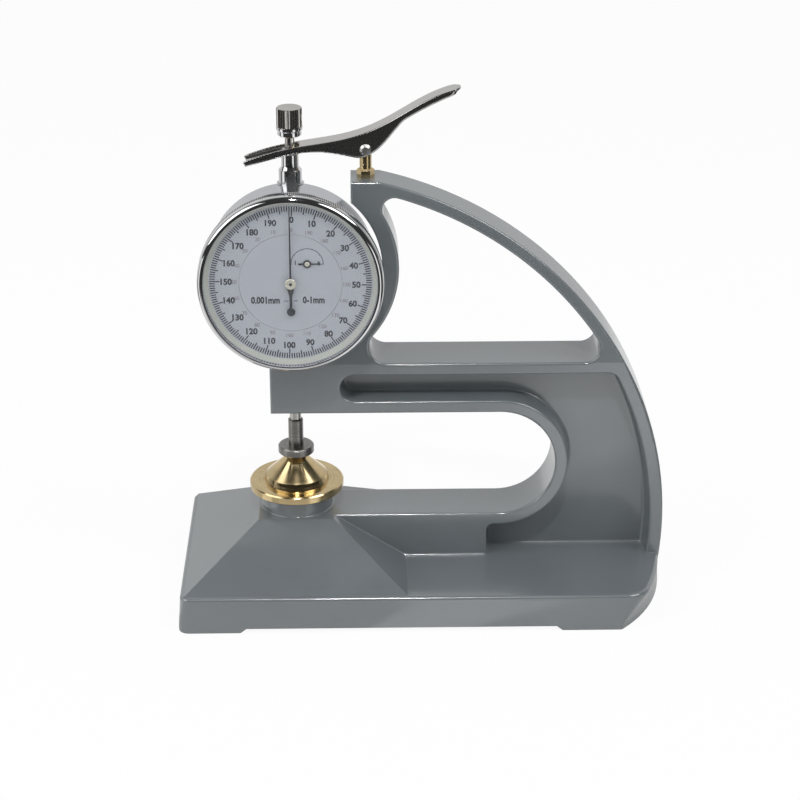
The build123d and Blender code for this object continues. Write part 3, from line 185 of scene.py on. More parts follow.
class Value:
    """A number, colour or vector on its way through the nodes of a tree."""

    def __init__(self, owner, socket):
        self.owner = owner
        self.socket = socket

    def maths(self, operation, *values):
        return self.owner.maths(operation, *values)

    def __add__(self, other):
        return self.maths("ADD", self, other)

    def __sub__(self, other):
        return self.maths("SUBTRACT", self, other)

    def __rsub__(self, other):
        return self.maths("SUBTRACT", other, self)

    def __mul__(self, other):
        return self.maths("MULTIPLY", self, other)

    def __truediv__(self, other):
        return self.maths("DIVIDE", self, other)

    __radd__ = __add__

    def sine(self):
        return self.maths("SINE", self)

    def size(self):
        return self.maths("ABSOLUTE", self)

    def clamped(self):
        return self.owner.node("Clamp", {}, {"Value": self, "Min": 0.0, "Max": 1.0})


class Nodes:
    """A node tree, cleared, and the methods that add nodes to it."""

    def __init__(self, owner):
        owner.use_nodes = True
        self.tree = owner.node_tree
        self.tree.nodes.clear()

    def node(self, kind, settings, inputs, output=0):
        """Add a node with its settings and its sockets' values or links, and give one of its outputs."""
        made = self.tree.nodes.new("ShaderNode" + kind)
        for name, value in settings.items():
            setattr(made, name, value)
        for name, value in inputs.items():
            self.give(made.inputs[name], value)
        return Value(self, made.outputs[output])

    def give(self, socket, value):
        """Link a value to a socket or set the socket to it."""
        if isinstance(value, Value):
            self.tree.links.new(value.socket, socket)
        elif hasattr(value, "__len__") and len(value) == 3 and len(socket.default_value) == 4:
            socket.default_value = (*value, 1.0)
        else:
            socket.default_value = value

    def maths(self, operation, *values):
        return self.node("Math", {"operation": operation}, dict(enumerate(values)))

    def vector_maths(self, operation, *values, output="Vector"):
        return self.node("VectorMath", {"operation": operation}, dict(enumerate(values)), output)

    def range(self, value, low, high, start=0.0, end=1.0):
        """Map a value from one range to another, clamped."""
        return self.node("MapRange", {}, {"Value": value, "From Min": low, "From Max": high,
                                          "To Min": start, "To Max": end})

    def parts(self, vector):
        """The three parts of a vector."""
        return [self.node("SeparateXYZ", {}, {0: vector}, output=i) for i in range(3)]

    def ray(self, kind):
        """One for rays of a kind, nothing for the others."""
        return self.node("LightPath", {}, {}, output="Is " + kind + " Ray")

    def glow(self, amount):
        """White light of its own."""
        return self.node("Emission", {}, {"Color": (1.0, 1.0, 1.0), "Strength": amount})


class Finish(Nodes):
    """One material and its Principled shader."""

    def __init__(self, name, **constants):
        self.material = bpy.data.materials.new(name)
        super().__init__(self.material)
        self.shader = self.tree.nodes.new("ShaderNodeBsdfPrincipled")
        self.output = self.tree.nodes.new("ShaderNodeOutputMaterial")
        self.tree.links.new(self.shader.outputs[0], self.output.inputs["Surface"])
        for socket, value in constants.items():
            self.set(socket.replace("_", " "), value)

    def set(self, socket, value):
        """Set or link a socket of the shader."""
        self.give(self.shader.inputs[socket], value)

    def normal(self):
        """The surface's normal before any bump."""
        return self.node("NewGeometry", {}, {}, output="Normal")

    def place(self, origin=(0, 0, 0), stretch=(1, 1, 1)):
        """Object coordinates measured from a point, each stretched by a factor."""
        raw = self.node("TexCoord", {}, {}, output="Object")
        return self.vector_maths("MULTIPLY", self.vector_maths("SUBTRACT", raw, tuple(origin)),
                                 tuple(stretch))

    def distance(self, origin, stretch):
        """Distance from a point, its parts stretched by factors."""
        return self.vector_maths("LENGTH", self.place(origin, stretch), output="Value")

    def noise(self, size, where=None, detail=3.0):
        """Soft random value about 0.5, its blotches about a given size."""
        return self.node("TexNoise", {}, {"Vector": where or self.place(), "Scale": 1.0 / size,
                                          "Detail": detail})

    def mix(self, part, first, second):
        """Colour between two colours.

        The colour sockets of a Mix node share their names with others, so they are given by number.
        """
        return self.node("Mix", {"data_type": "RGBA"}, {0: part, 6: first, 7: second}, output=2)

    def rounded(self, radius):
        """Normal over edges rounded to a radius."""
        return self.node("Bevel", {"samples": 6}, {"Radius": radius})

    def bump(self, height, depth, rounding=0.0):
        """Small relief of a height pattern, its full depth given, over edges rounded to a radius."""
        inputs = {"Height": height, "Distance": depth, "Strength": 1.0}
        if rounding:
            inputs["Normal"] = self.rounded(rounding)
        self.set("Normal", self.node("Bump", {}, inputs))

    def edges(self, width):
        """One along the sharp edges, falling to nothing at a width from them.

        What tells them is the cosine of the angle between the rounded and the plain normal.
        """
        alike = self.vector_maths("DOT_PRODUCT", self.rounded(width), self.normal(), output="Value")
        return self.range(alike, 0.98, 0.75)


def scaled(tint, factor):
    """Colour made lighter or darker by a factor, no part of it above one."""
    return tuple(min(1.0, factor * c) for c in tint)


def enamel():
    """Sprayed enamel over a sand casting: orange peel, faint waves of the casting, and thin paler edges
    that are partly worn paint and partly a painted highlight.
    """
    s = bpy.context.scene.gauge.casting
    f = Finish("casting_enamel", Metallic=0.0, Coat_Roughness=0.15, Coat_IOR=2.0)
    patches = f.noise(18 * MM, detail=4.0)
    specks = f.noise(0.5 * MM, detail=2.0)
    shade = f.mix(f.range(patches, 0.3, 0.7), scaled(s.paint, 0.94), scaled(s.paint, 1.05))
    shade = f.mix(f.range(specks, 0.55, 0.8, 0.0, 0.22), shade, scaled(s.paint, 1.25))
    # Paler band along the edges: part wear of the enamel, part painted highlight.
    rubbed_and_highlit = f.edges(s.edge_width) * f.range(f.noise(4 * MM), 0.3, 0.7, 0.35, 1.0)
    f.set("Base Color", f.mix(rubbed_and_highlit * 0.6, shade, tuple(s.paint_worn)))
    f.set("Roughness", f.range(patches, 0.3, 0.7, s.gloss - 0.04, s.gloss + 0.05))
    f.set("Coat Weight", f.range(specks, 0.4, 0.6, s.coat - 0.1, s.coat))
    peel = f.noise(s.peel_size, detail=2.0)
    waves = f.noise(12 * MM, detail=2.0)
    f.bump(peel * 0.012 + waves * 0.08, 1 * MM, s.rounding)
    return f.material


def plating(name, origin, roughness, knurl_radius=None, knurl_start=0.0):
    """Polished chrome plate with faint smudges and hairlines.

    Given its outer radius and where it starts along Y, a knurl round Y gets painted shade, near black, in
    the grooves between its ribs.
    """
    s = bpy.context.scene.gauge.metal
    f = Finish(name, Metallic=1.0)
    smudge = f.noise(6 * MM, detail=5.0)
    hair = f.noise(1.2 * MM, f.place(origin, (1.0, 1.0, 0.15)), detail=2.0)
    shade = f.mix(f.range(smudge, 0.35, 0.7, 0.0, 0.35), tuple(s.chrome), scaled(s.chrome, 0.88))
    if knurl_radius:
        light_above = knurl_radius - 0.06 * MM
        dark_below = knurl_radius - 0.2 * MM
        depth = f.parts(f.place())[1]
        # Painted shade: the knurl's grooves are made near black, as if shaded.
        valley_shade = (f.range(f.distance(origin, (1, 0, 1)), light_above, dark_below)
                  * f.range(depth, knurl_start, knurl_start + 0.1 * MM))
        shade = f.mix(valley_shade, shade, (0.02, 0.02, 0.02))
    f.set("Base Color", shade)
    f.set("Roughness", f.range(smudge, 0.35, 0.75, roughness, roughness + 0.05))
    f.bump(hair, 0.001 * MM)
    return f.material


def turned(name, tint, origin, roughness, axis=2):
    """Turned metal: fine tool marks round an axis, and a slow change of shade.

    The phase is the distance from the axis plus the distance along it, over the pitch, so that the marks
    are rings on a flat face and lines round a cylinder.
    """
    s = bpy.context.scene.gauge.metal
    f = Finish(name, Metallic=1.0)
    flat = tuple(0.0 if i == axis else 1.0 for i in range(3))
    along = tuple(1.0 - v for v in flat)
    height = f.vector_maths("DOT_PRODUCT", f.place(origin), along, output="Value")
    run = (f.distance(origin, flat) + height) / s.turning_pitch
    wander = f.node("TexNoise", {"noise_dimensions": "1D"}, {"W": run * 0.37, "Scale": 1.0, "Detail": 4.0})
    marks = (run * TAU).sine() * 0.5 + wander * 1.5
    tarnish = f.noise(5 * MM, detail=4.0)
    dull = f.range(tarnish, 0.35, 0.7) * 0.7 + f.range(wander, 0.4, 0.6) * 0.3
    f.set("Base Color", f.mix(dull, tuple(tint), scaled(tint, 0.74)))
    f.set("Roughness", f.range(wander, 0.35, 0.65, roughness - 0.05, roughness + 0.07))
    f.bump(marks, 0.002 * MM)
    return f.material


def ground(name, tint, roughness, stretch=(1.0, 1.0, 0.05)):
    """Ground or drawn metal: fine lines along the direction that is stretched least."""
    f = Finish(name, Metallic=1.0)
    grain = f.noise(0.25 * MM, f.place(stretch=stretch), detail=4.0)
    cloud = f.noise(4 * MM)
    dull = f.range(grain, 0.35, 0.65) * 0.5 + f.range(cloud, 0.35, 0.7) * 0.3
    f.set("Base Color", f.mix(dull, tuple(tint), scaled(tint, 0.72)))
    f.set("Roughness", f.range(grain, 0.35, 0.65, roughness - 0.06, roughness + 0.06))
    f.bump(grain, 0.002 * MM)
    return f.material


def plated_casting(name, tint):
    """Chrome over a casting: buffed on top, dull and pitted on the flat sides, which face along Y. Where
    pitted, the sides are darker, partly from the pits' own colour and partly from painted shade.
    """
    f = Finish(name, Metallic=1.0)
    pits = f.noise(0.9 * MM, detail=3.0)
    side = f.range(f.parts(f.normal())[1].size(), 0.9, 0.99)
    # Darker flat sides where pitted: partly pit colour, partly painted shade.
    f.set("Base Color", f.mix(side * f.range(pits, 0.25, 0.5), tuple(tint), scaled(tint, 0.68)))
    f.set("Roughness", f.range(pits, 0.3, 0.7, 0.0, 0.05) + side * 0.16 + 0.07)
    f.bump(pits * side, 0.012 * MM)
    return f.material


def lacquer(name, tint, roughness, metallic):
    """Smooth satin lacquer with a fine metallic fleck."""
    f = Finish(name, Metallic=metallic)
    fleck = f.noise(0.18 * MM, detail=1.0)
    cloud = f.noise(10 * MM)
    f.set("Base Color", f.mix(f.range(fleck, 0.45, 0.75) * 0.4, tuple(tint), scaled(tint, 1.3)))
    f.set("Roughness", f.range(cloud, 0.3, 0.7, roughness - 0.05, roughness + 0.05))
    f.bump(fleck, 0.002 * MM)
    return f.material


def dial_paint():
    """Matt dial paint: nearly flat, with a fine tooth."""
    s = bpy.context.scene.gauge.dial
    f = Finish("dial_paint", Metallic=0.0)
    tooth = f.noise(0.35 * MM, detail=2.0)
    cloud = f.noise(12 * MM)
    shade = f.range(tooth, 0.35, 0.65) * 0.35 + f.range(cloud, 0.3, 0.7) * 0.4
    f.set("Base Color", f.mix(shade, tuple(s.face), scaled(s.face, 1.06)))
    f.set("Roughness", f.range(tooth, 0.3, 0.7, 0.5, 0.6))
    f.bump(tooth, 0.003 * MM)
    return f.material


def ink(name, tint):
    """Screen-printed ink, a little thin in places."""
    f = Finish(name, Metallic=0.0)
    thin = f.noise(0.4 * MM, detail=3.0)
    thinned = tuple(min(1.0, 2.2 * c + 0.02) for c in tint)
    f.set("Base Color", f.mix(f.range(thin, 0.4, 0.75, 0.0, 0.35), tuple(tint), thinned))
    f.set("Roughness", f.range(thin, 0.3, 0.7, 0.35, 0.5))
    return f.material


def clear_glass():
    """Moulded crystal: almost clear, with a gloss and very faint haze."""
    f = Finish("crystal_clear", Metallic=0.0, Base_Color=(0.80, 0.84, 0.90), IOR=1.49)
    haze = f.noise(10 * MM, detail=3.0)
    f.set("Alpha", f.range(haze, 0.3, 0.7, 0.03, 0.05))
    f.set("Roughness", f.range(haze, 0.3, 0.7, 0.02, 0.05))
    return f.material


# Surfaces as whole arrays

SAME_POINT = 1e-7
NO_LENGTH = 1e-8


def piece(name, vertices, faces, material, body, slot, stands_for=(), sharp=radians(35)):
    """Make a closed mesh of points and faces, clean it and put it on its body.

    Points that coincide are merged and the faces point outwards. The piece may stand for CAD nodes.
    """
    mesh = bpy.data.meshes.new(name)
    mesh.from_pydata(np.asarray(vertices, float).reshape(-1, 3).tolist(), [], [list(f) for f in faces])
    work = bmesh.new()
    work.from_mesh(mesh)
    bmesh.ops.remove_doubles(work, verts=work.verts, dist=SAME_POINT)
    bmesh.ops.dissolve_degenerate(work, edges=work.edges, dist=NO_LENGTH)
    bmesh.ops.recalc_face_normals(work, faces=work.faces)
    work.to_mesh(mesh)
    work.free()
    mesh.shade_smooth()
    mesh.set_sharp_from_angle(angle=sharp)
    mesh.materials.append(material)
    made = bpy.data.objects.new(name, mesh)
    bpy.context.scene.collection.objects.link(made)
    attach(made, body)
    if stands_for:
        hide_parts(*stands_for)


def grid_faces(rows, columns):
    """Quads between neighbouring rows and columns of a grid of points that is closed both ways."""
    r0, c0 = np.meshgrid(np.arange(rows), np.arange(columns), indexing="ij")
    r1 = (r0 + 1) % rows
    c1 = (c0 + 1) % columns
    corners = [r0 * columns + c0, r0 * columns + c1, r1 * columns + c1, r1 * columns + c0]
    return np.stack(corners, -1).reshape(-1, 4)


def softened(section, radius, steps=3):
    """Round each corner of a closed outline.

    Each corner P becomes the curve (1-t)^2 (P + d a) + 2t(1-t) P + t^2 (P + d b), where a and b point to
    its neighbours and d is the radius, or at most 0.45 of the shorter side beside it.
    """
    corner = np.asarray(section, float)
    back = np.roll(corner, 1, axis=0) - corner
    ahead = np.roll(corner, -1, axis=0) - corner
    back_length = np.linalg.norm(back, axis=1, keepdims=True)
    ahead_length = np.linalg.norm(ahead, axis=1, keepdims=True)
    d = np.minimum(radius, 0.45 * np.minimum(back_length, ahead_length))
    start = (corner + back / back_length * d)[:, None]
    end = (corner + ahead / ahead_length * d)[:, None]
    t = np.linspace(0, 1, steps)[None, :, None]
    return ((1 - t) ** 2 * start + 2 * t * (1 - t) * corner[:, None] + t**2 * end).reshape(-1, 2)


def turned_piece(name, section, centre, around, ripple, *look, **options):
    """Closed section of (radius, distance along Y) turned about a line along Y through a centre.

    A point is centre + along * y + radius * (cos a * x + sin a * (y cross x)), with x and y the directions
    of those axes. The ripple gives, for arrays of angle, radius and distance, what the radius gains.
    """
    axis = np.array([0.0, 1.0, 0.0])
    across = np.array([1.0, 0.0, 0.0])
    up = np.cross(axis, across)
    radius = section[:, 0][:, None]
    along = section[:, 1][:, None]
    turn = np.linspace(0, TAU, around, endpoint=False)[None, :]
    full = radius + (ripple(turn, radius, along) if ripple else 0 * turn)
    points = (np.asarray(centre, float) + along[..., None] * axis
              + full[..., None] * (np.cos(turn)[..., None] * across + np.sin(turn)[..., None] * up))
    piece(name, points, grid_faces(len(section), around), *look, **options)


def plate(name, outlines, depth, thickness, *look):
    """Flat prisms of convex four-sided outlines in X and Z.

    Their backs are at a depth along Y and their fronts nearer to the viewer by the thickness.
    """
    flat = np.asarray(outlines, float)
    back = np.stack([flat[..., 0], np.full(flat.shape[:2], depth), flat[..., 1]], -1)
    front = back - np.array([0.0, thickness, 0.0])
    points = np.concatenate([back, front], axis=1)
    sides = np.array([[0, 1, 2, 3], [7, 6, 5, 4], [0, 4, 5, 1], [1, 5, 6, 2], [2, 6, 7, 3], [3, 7, 4, 0]])
    faces = (np.arange(len(flat))[:, None, None] * 8 + sides).reshape(-1, 4)
    piece(name, points, faces, *look)


def taken_mesh(holder):
    """Mesh that a holder's text or modifiers make, and its points as an array; the holder goes."""
    source = holder.evaluated_get(bpy.context.evaluated_depsgraph_get())
    mesh = bpy.data.meshes.new_from_object(source)
    points = np.zeros(len(mesh.vertices) * 3)
    mesh.vertices.foreach_get("co", points)
    bpy.data.objects.remove(holder)
    return mesh, points.reshape(-1, 3)


def relaxed_copy(node, name, cell, passes, *look):
    """Copy of a CAD node as a casting comes out: remeshed in small cells, its edges rounded by relaxing.

    Each pass moves every point half of the way to the mean of its neighbours.
    """
    copy = nodes[node].data.copy()
    copy.transform(nodes[node].matrix_world)
    holder = bpy.data.objects.new(name, copy)
    bpy.context.scene.collection.objects.link(holder)
    holder.modifiers.new("weld", "WELD").merge_threshold = 1e-6
    remesh = holder.modifiers.new("remesh", "REMESH")
    remesh.mode = "VOXEL"
    remesh.voxel_size = cell
    mesh, points = taken_mesh(holder)
    pairs = np.zeros(len(mesh.edges) * 2, int)
    mesh.edges.foreach_get("vertices", pairs)
    first, last = pairs.reshape(-1, 2).T
    count = np.bincount(pairs, minlength=len(points))[:, None]
    for _ in range(passes):
        total = np.zeros_like(points)
        np.add.at(total, first, points[last])
        np.add.at(total, last, points[first])
        points = (points + total / count) / 2
    faces = [tuple(polygon.vertices) for polygon in mesh.polygons]
    piece(name, points, faces, *look, stands_for=(node,), sharp=radians(80))


def lettering(name, words, depth, thickness, condense, *look):
    """Raised words in X and Z: each is (text, height, middle across, middle up, weight)."""
    points, faces, start = [], [], 0
    for text, height, across, up, weight in words:
        line = bpy.data.curves.new("line", "FONT")
        line.body = text
        line.size = 1.0
        line.offset = weight
        line.extrude = 0.5
        line.resolution_u = 3
        holder = bpy.data.objects.new("line", line)
        bpy.context.scene.collection.objects.link(holder)
        mesh, flat = taken_mesh(holder)
        low, high = flat.min(0), flat.max(0)
        factor = height / (high[1] - low[1])
        placed = (flat[:, :2] - (low[:2] + high[:2]) / 2) * factor * (condense, 1.0) + (across, up)
        deep = depth - thickness * (flat[:, 2] + 0.5)
        points.append(np.stack([placed[:, 0], deep, placed[:, 1]], -1))
        faces += [[start + v for v in polygon.vertices] for polygon in mesh.polygons]
        start += len(flat)
        bpy.data.curves.remove(line)
        bpy.data.meshes.remove(mesh)
    piece(name, np.concatenate(points), faces, *look)


def finish_nodes(material, *names):
    """Give a material to CAD nodes whose shape is right."""
    for name in names:
        nodes[name].data.materials.clear()
        nodes[name].data.materials.append(material)


# One operator for each group of pieces

class GAUGE_OT_casting(Operator):
    """Paint the one-piece frame casting"""

    bl_idname = "gauge.casting"
    bl_label = "Frame casting"

    def execute(self, context):
        finish_nodes(enamel(), "frame_casting")
        return {"FINISHED"}


class GAUGE_OT_anvil(Operator):
    """Turn the brass anvil and blacken its screw and the stem's clamp screw"""

    bl_idname = "gauge.anvil"
    bl_label = "Anvil"

    def execute(self, context):
        s = context.scene.gauge.metal
        finish_nodes(turned("anvil_brass", s.brass, middle("anvil"), 0.15), "anvil")
        finish_nodes(ground("screw_black", (0.06, 0.06, 0.06), 0.4), "anvil_screw", "stem_clamp_screw")
        return {"FINISHED"}


class GAUGE_OT_spindle(Operator):
    """Finish the measuring spindle, its contact, collar and knurled cap"""

    bl_idname = "gauge.spindle"
    bl_label = "Measuring spindle"

    def execute(self, context):
        s = context.scene.gauge.metal
        finish_nodes(ground("spindle_steel", s.steel, 0.22), "spindle", "guide_pin")
        hardened = scaled(s.steel, 0.48)
        finish_nodes(turned("contact_steel", hardened, middle("contact_point"), 0.3), "contact_point")
        finish_nodes(plating("collar_chrome", middle("lift_collar"), 0.06), "lift_collar")
        finish_nodes(ground("cap_steel", s.steel, 0.18), "spindle_cap")
        return {"FINISHED"}


class GAUGE_OT_case(Operator):
    """Finish the indicator's case, cover, stem and sleeve"""

    bl_idname = "gauge.case"
    bl_label = "Indicator case"

    def execute(self, context):
        s = context.scene.gauge.metal
        finish_nodes(lacquer("case_lacquer", s.lacquer, 0.17, 0.92), "indicator_case", "back_cover")
        finish_nodes(ground("cover_screw_steel", s.steel, 0.3), "back_cover_screws")
        finish_nodes(plating("stem_chrome", middle("lower_stem"), 0.1), "lower_stem", "upper_sleeve")
        return {"FINISHED"}


class GAUGE_OT_bezel(Operator):
    """Knurl and plate the rotating bezel, lay the dial's pale rim and clear the crystal"""

    bl_idname = "gauge.bezel"
    bl_label = "Bezel and crystal"

    def execute(self, context):
        metal = context.scene.gauge.metal
        rim = context.scene.gauge.dial.rim
        low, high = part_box("bezel")
        front = low.y
        thickness = high.y - low.y
        crystal_low, crystal_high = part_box("crystal")
        crystal_radius = (crystal_high.x - crystal_low.x) / 2

        lip_depth = 3.1 * MM
        wall = 2.0 * MM
        chamfer = 0.4 * MM
        shoulder = 2.0 * MM
        knurl_start = 2.2 * MM
        knurl_full = 3.9 * MM
        softening = 0.15 * MM

        # Section of (radius, depth behind the front): lip over the crystal, bore, back and outside, and
        # then the round crown
        section = [(bezel_radius - 1.4 * MM, 0.0), (bezel_radius - wall, 0.0),
                   (bezel_radius - 2.6 * MM, lip_depth), (bezel_radius - wall, lip_depth),
                   (bezel_radius - wall, thickness), (bezel_radius - chamfer, thickness),
                   (bezel_radius, thickness - chamfer), (bezel_radius, knurl_full),
                   (bezel_radius, shoulder), (bezel_radius - 0.13 * MM, 1.2 * MM),
                   (bezel_radius - 0.5 * MM, 0.55 * MM), (bezel_radius - 0.9 * MM, 0.2 * MM)]

        def knurl(turn, radius, along):
            """Ribs cut into the outside behind the crown: minus the depth times the rib's wave, which is
            the square of the sine of half the rib count times the angle."""
            outside = (radius > bezel_radius - 0.3 * MM) & (along > knurl_start)
            return -metal.rib_depth * outside * np.sin(turn * metal.ribs / 2) ** 2

        chrome = plating("bezel_chrome", dial_middle, 0.04, bezel_radius, front + knurl_start)
        turned_piece("knurled_bezel", softened(section, softening), (dial_x, front, dial_z), 4 * metal.ribs,
                     knurl, chrome, "rotating_bezel", "chrome", stands_for=("bezel",), sharp=radians(25))

        # Pale ring that leans from the dial's edge out to the crystal. Its section is (radius, distance
        # along Y from the dial's face)
        rim_inside = 26.3 * MM
        rim_height = 1.45 * MM
        foot = -0.02 * MM
        slope = np.array([(rim_inside, foot), (crystal_radius - 0.34 * MM, foot),
                          (crystal_radius - 0.07 * MM, -rim_height)])
        turned_piece("dial_rim", slope, (dial_x, dial_face_y, dial_z), 180, None,
                     lacquer("rim_enamel", rim, 0.55, 0.0), "rotating_bezel", "dial_face")
        finish_nodes(clear_glass(), "crystal")
        nodes["crystal"].visible_shadow = False
        return {"FINISHED"}


class GAUGE_OT_dial(Operator):
    """Print the scale, the numerals, the words and the turn counter's arc"""

    bl_idname = "gauge.dial"
    bl_label = "Dial"

    def execute(self, context):
        s = context.scene.gauge.dial
        finish_nodes(dial_paint(), "dial_ring", "dial_centre")
        black = ink("dial_ink", s.ink)
        faded = ink("second_ink", s.second_ink)
        centre = np.array([dial_x, dial_z])

        # Graduations: line i stands at i divisions of a full turn, clockwise from the set angle
        index = np.arange(s.divisions)
        turn = s.set_angle + TAU * index / s.divisions
        size = np.where(index % 10 == 0, s.major, np.where(index % 5 == 0, s.middle, s.minor))
        out = np.stack([np.sin(turn), np.cos(turn)], -1)
        side = np.stack([np.cos(turn), -np.sin(turn)], -1) * s.line / 2
        far = centre + s.scale_radius * out
        near = centre + (s.scale_radius - size)[:, None] * out
        lines = np.stack([far - side, near - side, near + side, far + side], axis=1)
        plate("graduations", lines, dial_face_y, s.print_depth, black, "rotating_bezel", "pointer_black")

        # Numerals, clockwise in black and counter-clockwise in the second ink. Long ones stand a little
        # further in at the sides
        main_weight = 0.042
        condense = 0.96
        inset = 0.45 * MM
        main, second = [], []
        for mark in range(0, s.divisions, 10):
            a = s.set_angle + TAU * mark / s.divisions
            text, other = str(mark), str((s.divisions - mark) % s.divisions)
            reach = s.numeral_radius - (len(text) - 1) * inset * abs(sin(a))
            main.append((text, s.numeral_height, dial_x + reach * sin(a), dial_z + reach * cos(a),
                         main_weight))
            second.append((other, s.second_height, dial_x + s.second_radius * sin(a),
                           dial_z + s.second_radius * cos(a), 0.0))
        lettering("numerals", main, dial_face_y, s.print_depth, condense, black, "rotating_bezel",
                  "pointer_black")
        lettering("second_numerals", second, dial_face_y, s.print_depth, condense, faded, "rotating_bezel",
                  "pointer_black")

        # Words of the fixed middle: text, height, across and up from the dial's middle, weight
        layout = [("0.001mm", 2.45, -8.2, -5.8, 0.045), ("0-1mm", 2.45, 7.3, -5.8, 0.045),
                  ("1", 1.5, 1.6, 6.9, 0.06), ("0", 1.5, 9.1, 6.7, 0.06)]
        words = [(text, height * MM, dial_x + across * MM, dial_z + up * MM, weight)
                 for text, height, across, up, weight in layout]
        lettering("dial_words", words, dial_face_y, s.print_depth, 0.80, black, "frame", "pointer_black")

        # Turn counter: a thin arc a little over half a turn and its six marks. Two dashes stand below the
        # dial's middle
        arc_radius = 5.25 * MM
        arc_width = 0.2 * MM
        mark_length = 0.4 * MM
        mark_half_width = 0.11 * MM
        counter = centre + np.array([s.turns_x, s.turns_z])
        sweep = np.linspace(radians(-4), radians(184), 61)
        ring = np.stack([np.cos(sweep), np.sin(sweep)], -1)
        outer = counter + arc_radius * ring
        inner = counter + (arc_radius - arc_width) * ring
        arc = np.stack([outer[:-1], outer[1:], inner[1:], inner[:-1]], axis=1)
        stops = np.linspace(0, pi, 6)
        ray = np.stack([np.cos(stops), np.sin(stops)], -1)
        wide = np.stack([-np.sin(stops), np.cos(stops)], -1) * mark_half_width
        tip = counter + arc_radius * ray
        root = counter + (arc_radius - mark_length) * ray
        marks = np.stack([tip + wide, root + wide, root - wide, tip - wide], axis=1)
        top, bottom = -5.98 * MM, -6.24 * MM
        spans = ((-2.2 * MM, -0.9 * MM), (0.9 * MM, 2.2 * MM))
        dashes = np.array([[[x0, top], [x1, top], [x1, bottom], [x0, bottom]] for x0, x1 in spans]) + centre
        plate("turn_arc", np.concatenate([arc, marks, dashes]), dial_face_y, s.print_depth, black, "frame",
              "pointer_black")
        return {"FINISHED"}


class GAUGE_OT_pointers(Operator):
    """Blacken the two pointers and polish their hubs"""

    bl_idname = "gauge.pointers"
    bl_label = "Pointers"

    def execute(self, context):
        s = context.scene.gauge.dial
        finish_nodes(ink("pointer_enamel", s.ink), "main_pointer", "small_pointer")
        pale = lacquer("hub_nickel", (0.62, 0.60, 0.50), 0.3, 0.35)
        finish_nodes(pale, "pointer_hub")

        # Sections of (radius, distance along Y): the end of the arbor and the cap of the small pointer
        dot = np.array([(0.0, 0.0), (0.5, 0.0), (0.5, -0.06), (0.0, -0.06)]) * MM
        turned_piece("arbor_end", dot, (dial_x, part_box("pointer_hub")[0].y, dial_z), 24, None,
                     ink("arbor_end_dark", s.ink), "main_hand", "pointer_black")
        cap = np.array([(0.0, 0.0), (0.82, 0.0), (0.6, -0.24), (0.0, -0.3)]) * MM
        cap_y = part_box("small_pointer")[0].y - 0.01 * MM
        turned_piece("small_pointer_cap", cap, (dial_x + s.turns_x, cap_y, dial_z + s.turns_z), 32, None,
                     pale, "turn_counter", "bright_steel")
        return {"FINISHED"}


class GAUGE_OT_lever(Operator):
    """Plate the lifting lever and finish its post and rivet"""

    bl_idname = "gauge.lever"
    bl_label = "Lifting lever"

    def execute(self, context):
        s = context.scene.gauge.metal
        relaxed_copy("lift_lever", "lever_casting", 0.3 * MM, 6, plated_casting("lever_chrome", s.cast),
                     "lift_arm", "chrome")
        finish_nodes(turned("post_brass", s.brass, middle("lever_post"), 0.22), "lever_post")
        finish_nodes(ground("rivet_satin", (0.85, 0.85, 0.84), 0.36), "pivot_rivet")
        return {"FINISHED"}


class GAUGE_OT_movement(Operator):
    """Finish the plates, wheels, arbors and springs inside the case"""

    bl_idname = "gauge.movement"
    bl_label = "Movement"

    def execute(self, context):
        s = context.scene.gauge.metal
        finish_nodes(ground("movement_brass", s.brass, 0.32, (0.1, 1.0, 1.0)), "front_plate", "rear_plate",
                     "plate_pillars", "rear_cock", "guide_rail", "hairspring_stud", "lower_bush",
                     "upper_bush")
        finish_nodes(turned("wheel_brass", s.brass, dial_middle, 0.3, axis=1), "first_gear", "second_gear",
                     "takeup_gear", "counter_gear")
        finish_nodes(ground("arbor_steel", s.steel, 0.2, (1.0, 0.05, 1.0)), "first_arbor", "second_arbor",
                     "centre_arbor", "takeup_arbor", "counter_arbor", "spring_anchor")
        finish_nodes(ground("movement_screw_steel", s.steel, 0.28), "front_plate_screws",
                     "rear_plate_screws")
        finish_nodes(ground("spring_steel", scaled(s.steel, 0.7), 0.25), "return_spring", "hairspring",
                     "bezel_spring")
        return {"FINISHED"}


def floor_finish(s):
    """Pale floor, which shows each kind of ray what a photographer's table would.

    The camera and glass see it nearly white. For glossy rays alone it glows with a painted reflection: a
    pale sheet that ends in front of the object, a bright pool on each side, the foot of the wall behind,
    and the dark room for the rest.
    """
    f = Finish("studio_floor", Roughness=0.9, Specular_IOR_Level=0.1)
    patches = f.range(f.noise(500 * MM), 0.3, 0.7)
    f.set("Base Color", f.mix(patches, tuple(s.floor), scaled(s.floor, 1.02)))

    side_fade = 60 * MM
    fade_start = 20 * MM
    fade_end = 100 * MM
    wall_foot = 200 * MM
    # Painted reflection: the glow that glossy rays alone see on the floor.
    across, along, _ = f.parts(f.place((dial_x, 0, 0)))
    painted_reflection = (f.range(across.size(), s.sheet + side_fade, s.sheet)
             * f.range(along, -s.sheet - fade_end, -s.sheet - fade_start)) * s.sheet_light

    # Pools, in degrees from straight ahead: their middles, and how far they are full and where they end
    pools = ((-72, 10, 15), (41, 7, 13))
    bearing = f.maths("ARCTAN2", across, 0 - along)
    for pool, full, end in pools:
        painted_reflection = painted_reflection + f.range((bearing - radians(pool)).size(), radians(end), radians(full))
    painted_reflection = (painted_reflection + f.range(along, 0.0, wall_foot) * s.wall).clamped() * (1 - s.dark) + s.dark

    seen = (f.ray("Camera") + f.ray("Transmission")) * s.floor_white
    surface = f.node("MixShader", {}, {0: seen.clamped(), 1: Value(f, f.shader.outputs[0]), 2: f.glow(1.0)})
    surface = f.node("MixShader", {}, {0: f.ray("Glossy"), 1: surface, 2: f.glow(painted_reflection)})
    f.give(f.output.inputs["Surface"], surface)
    return f.material


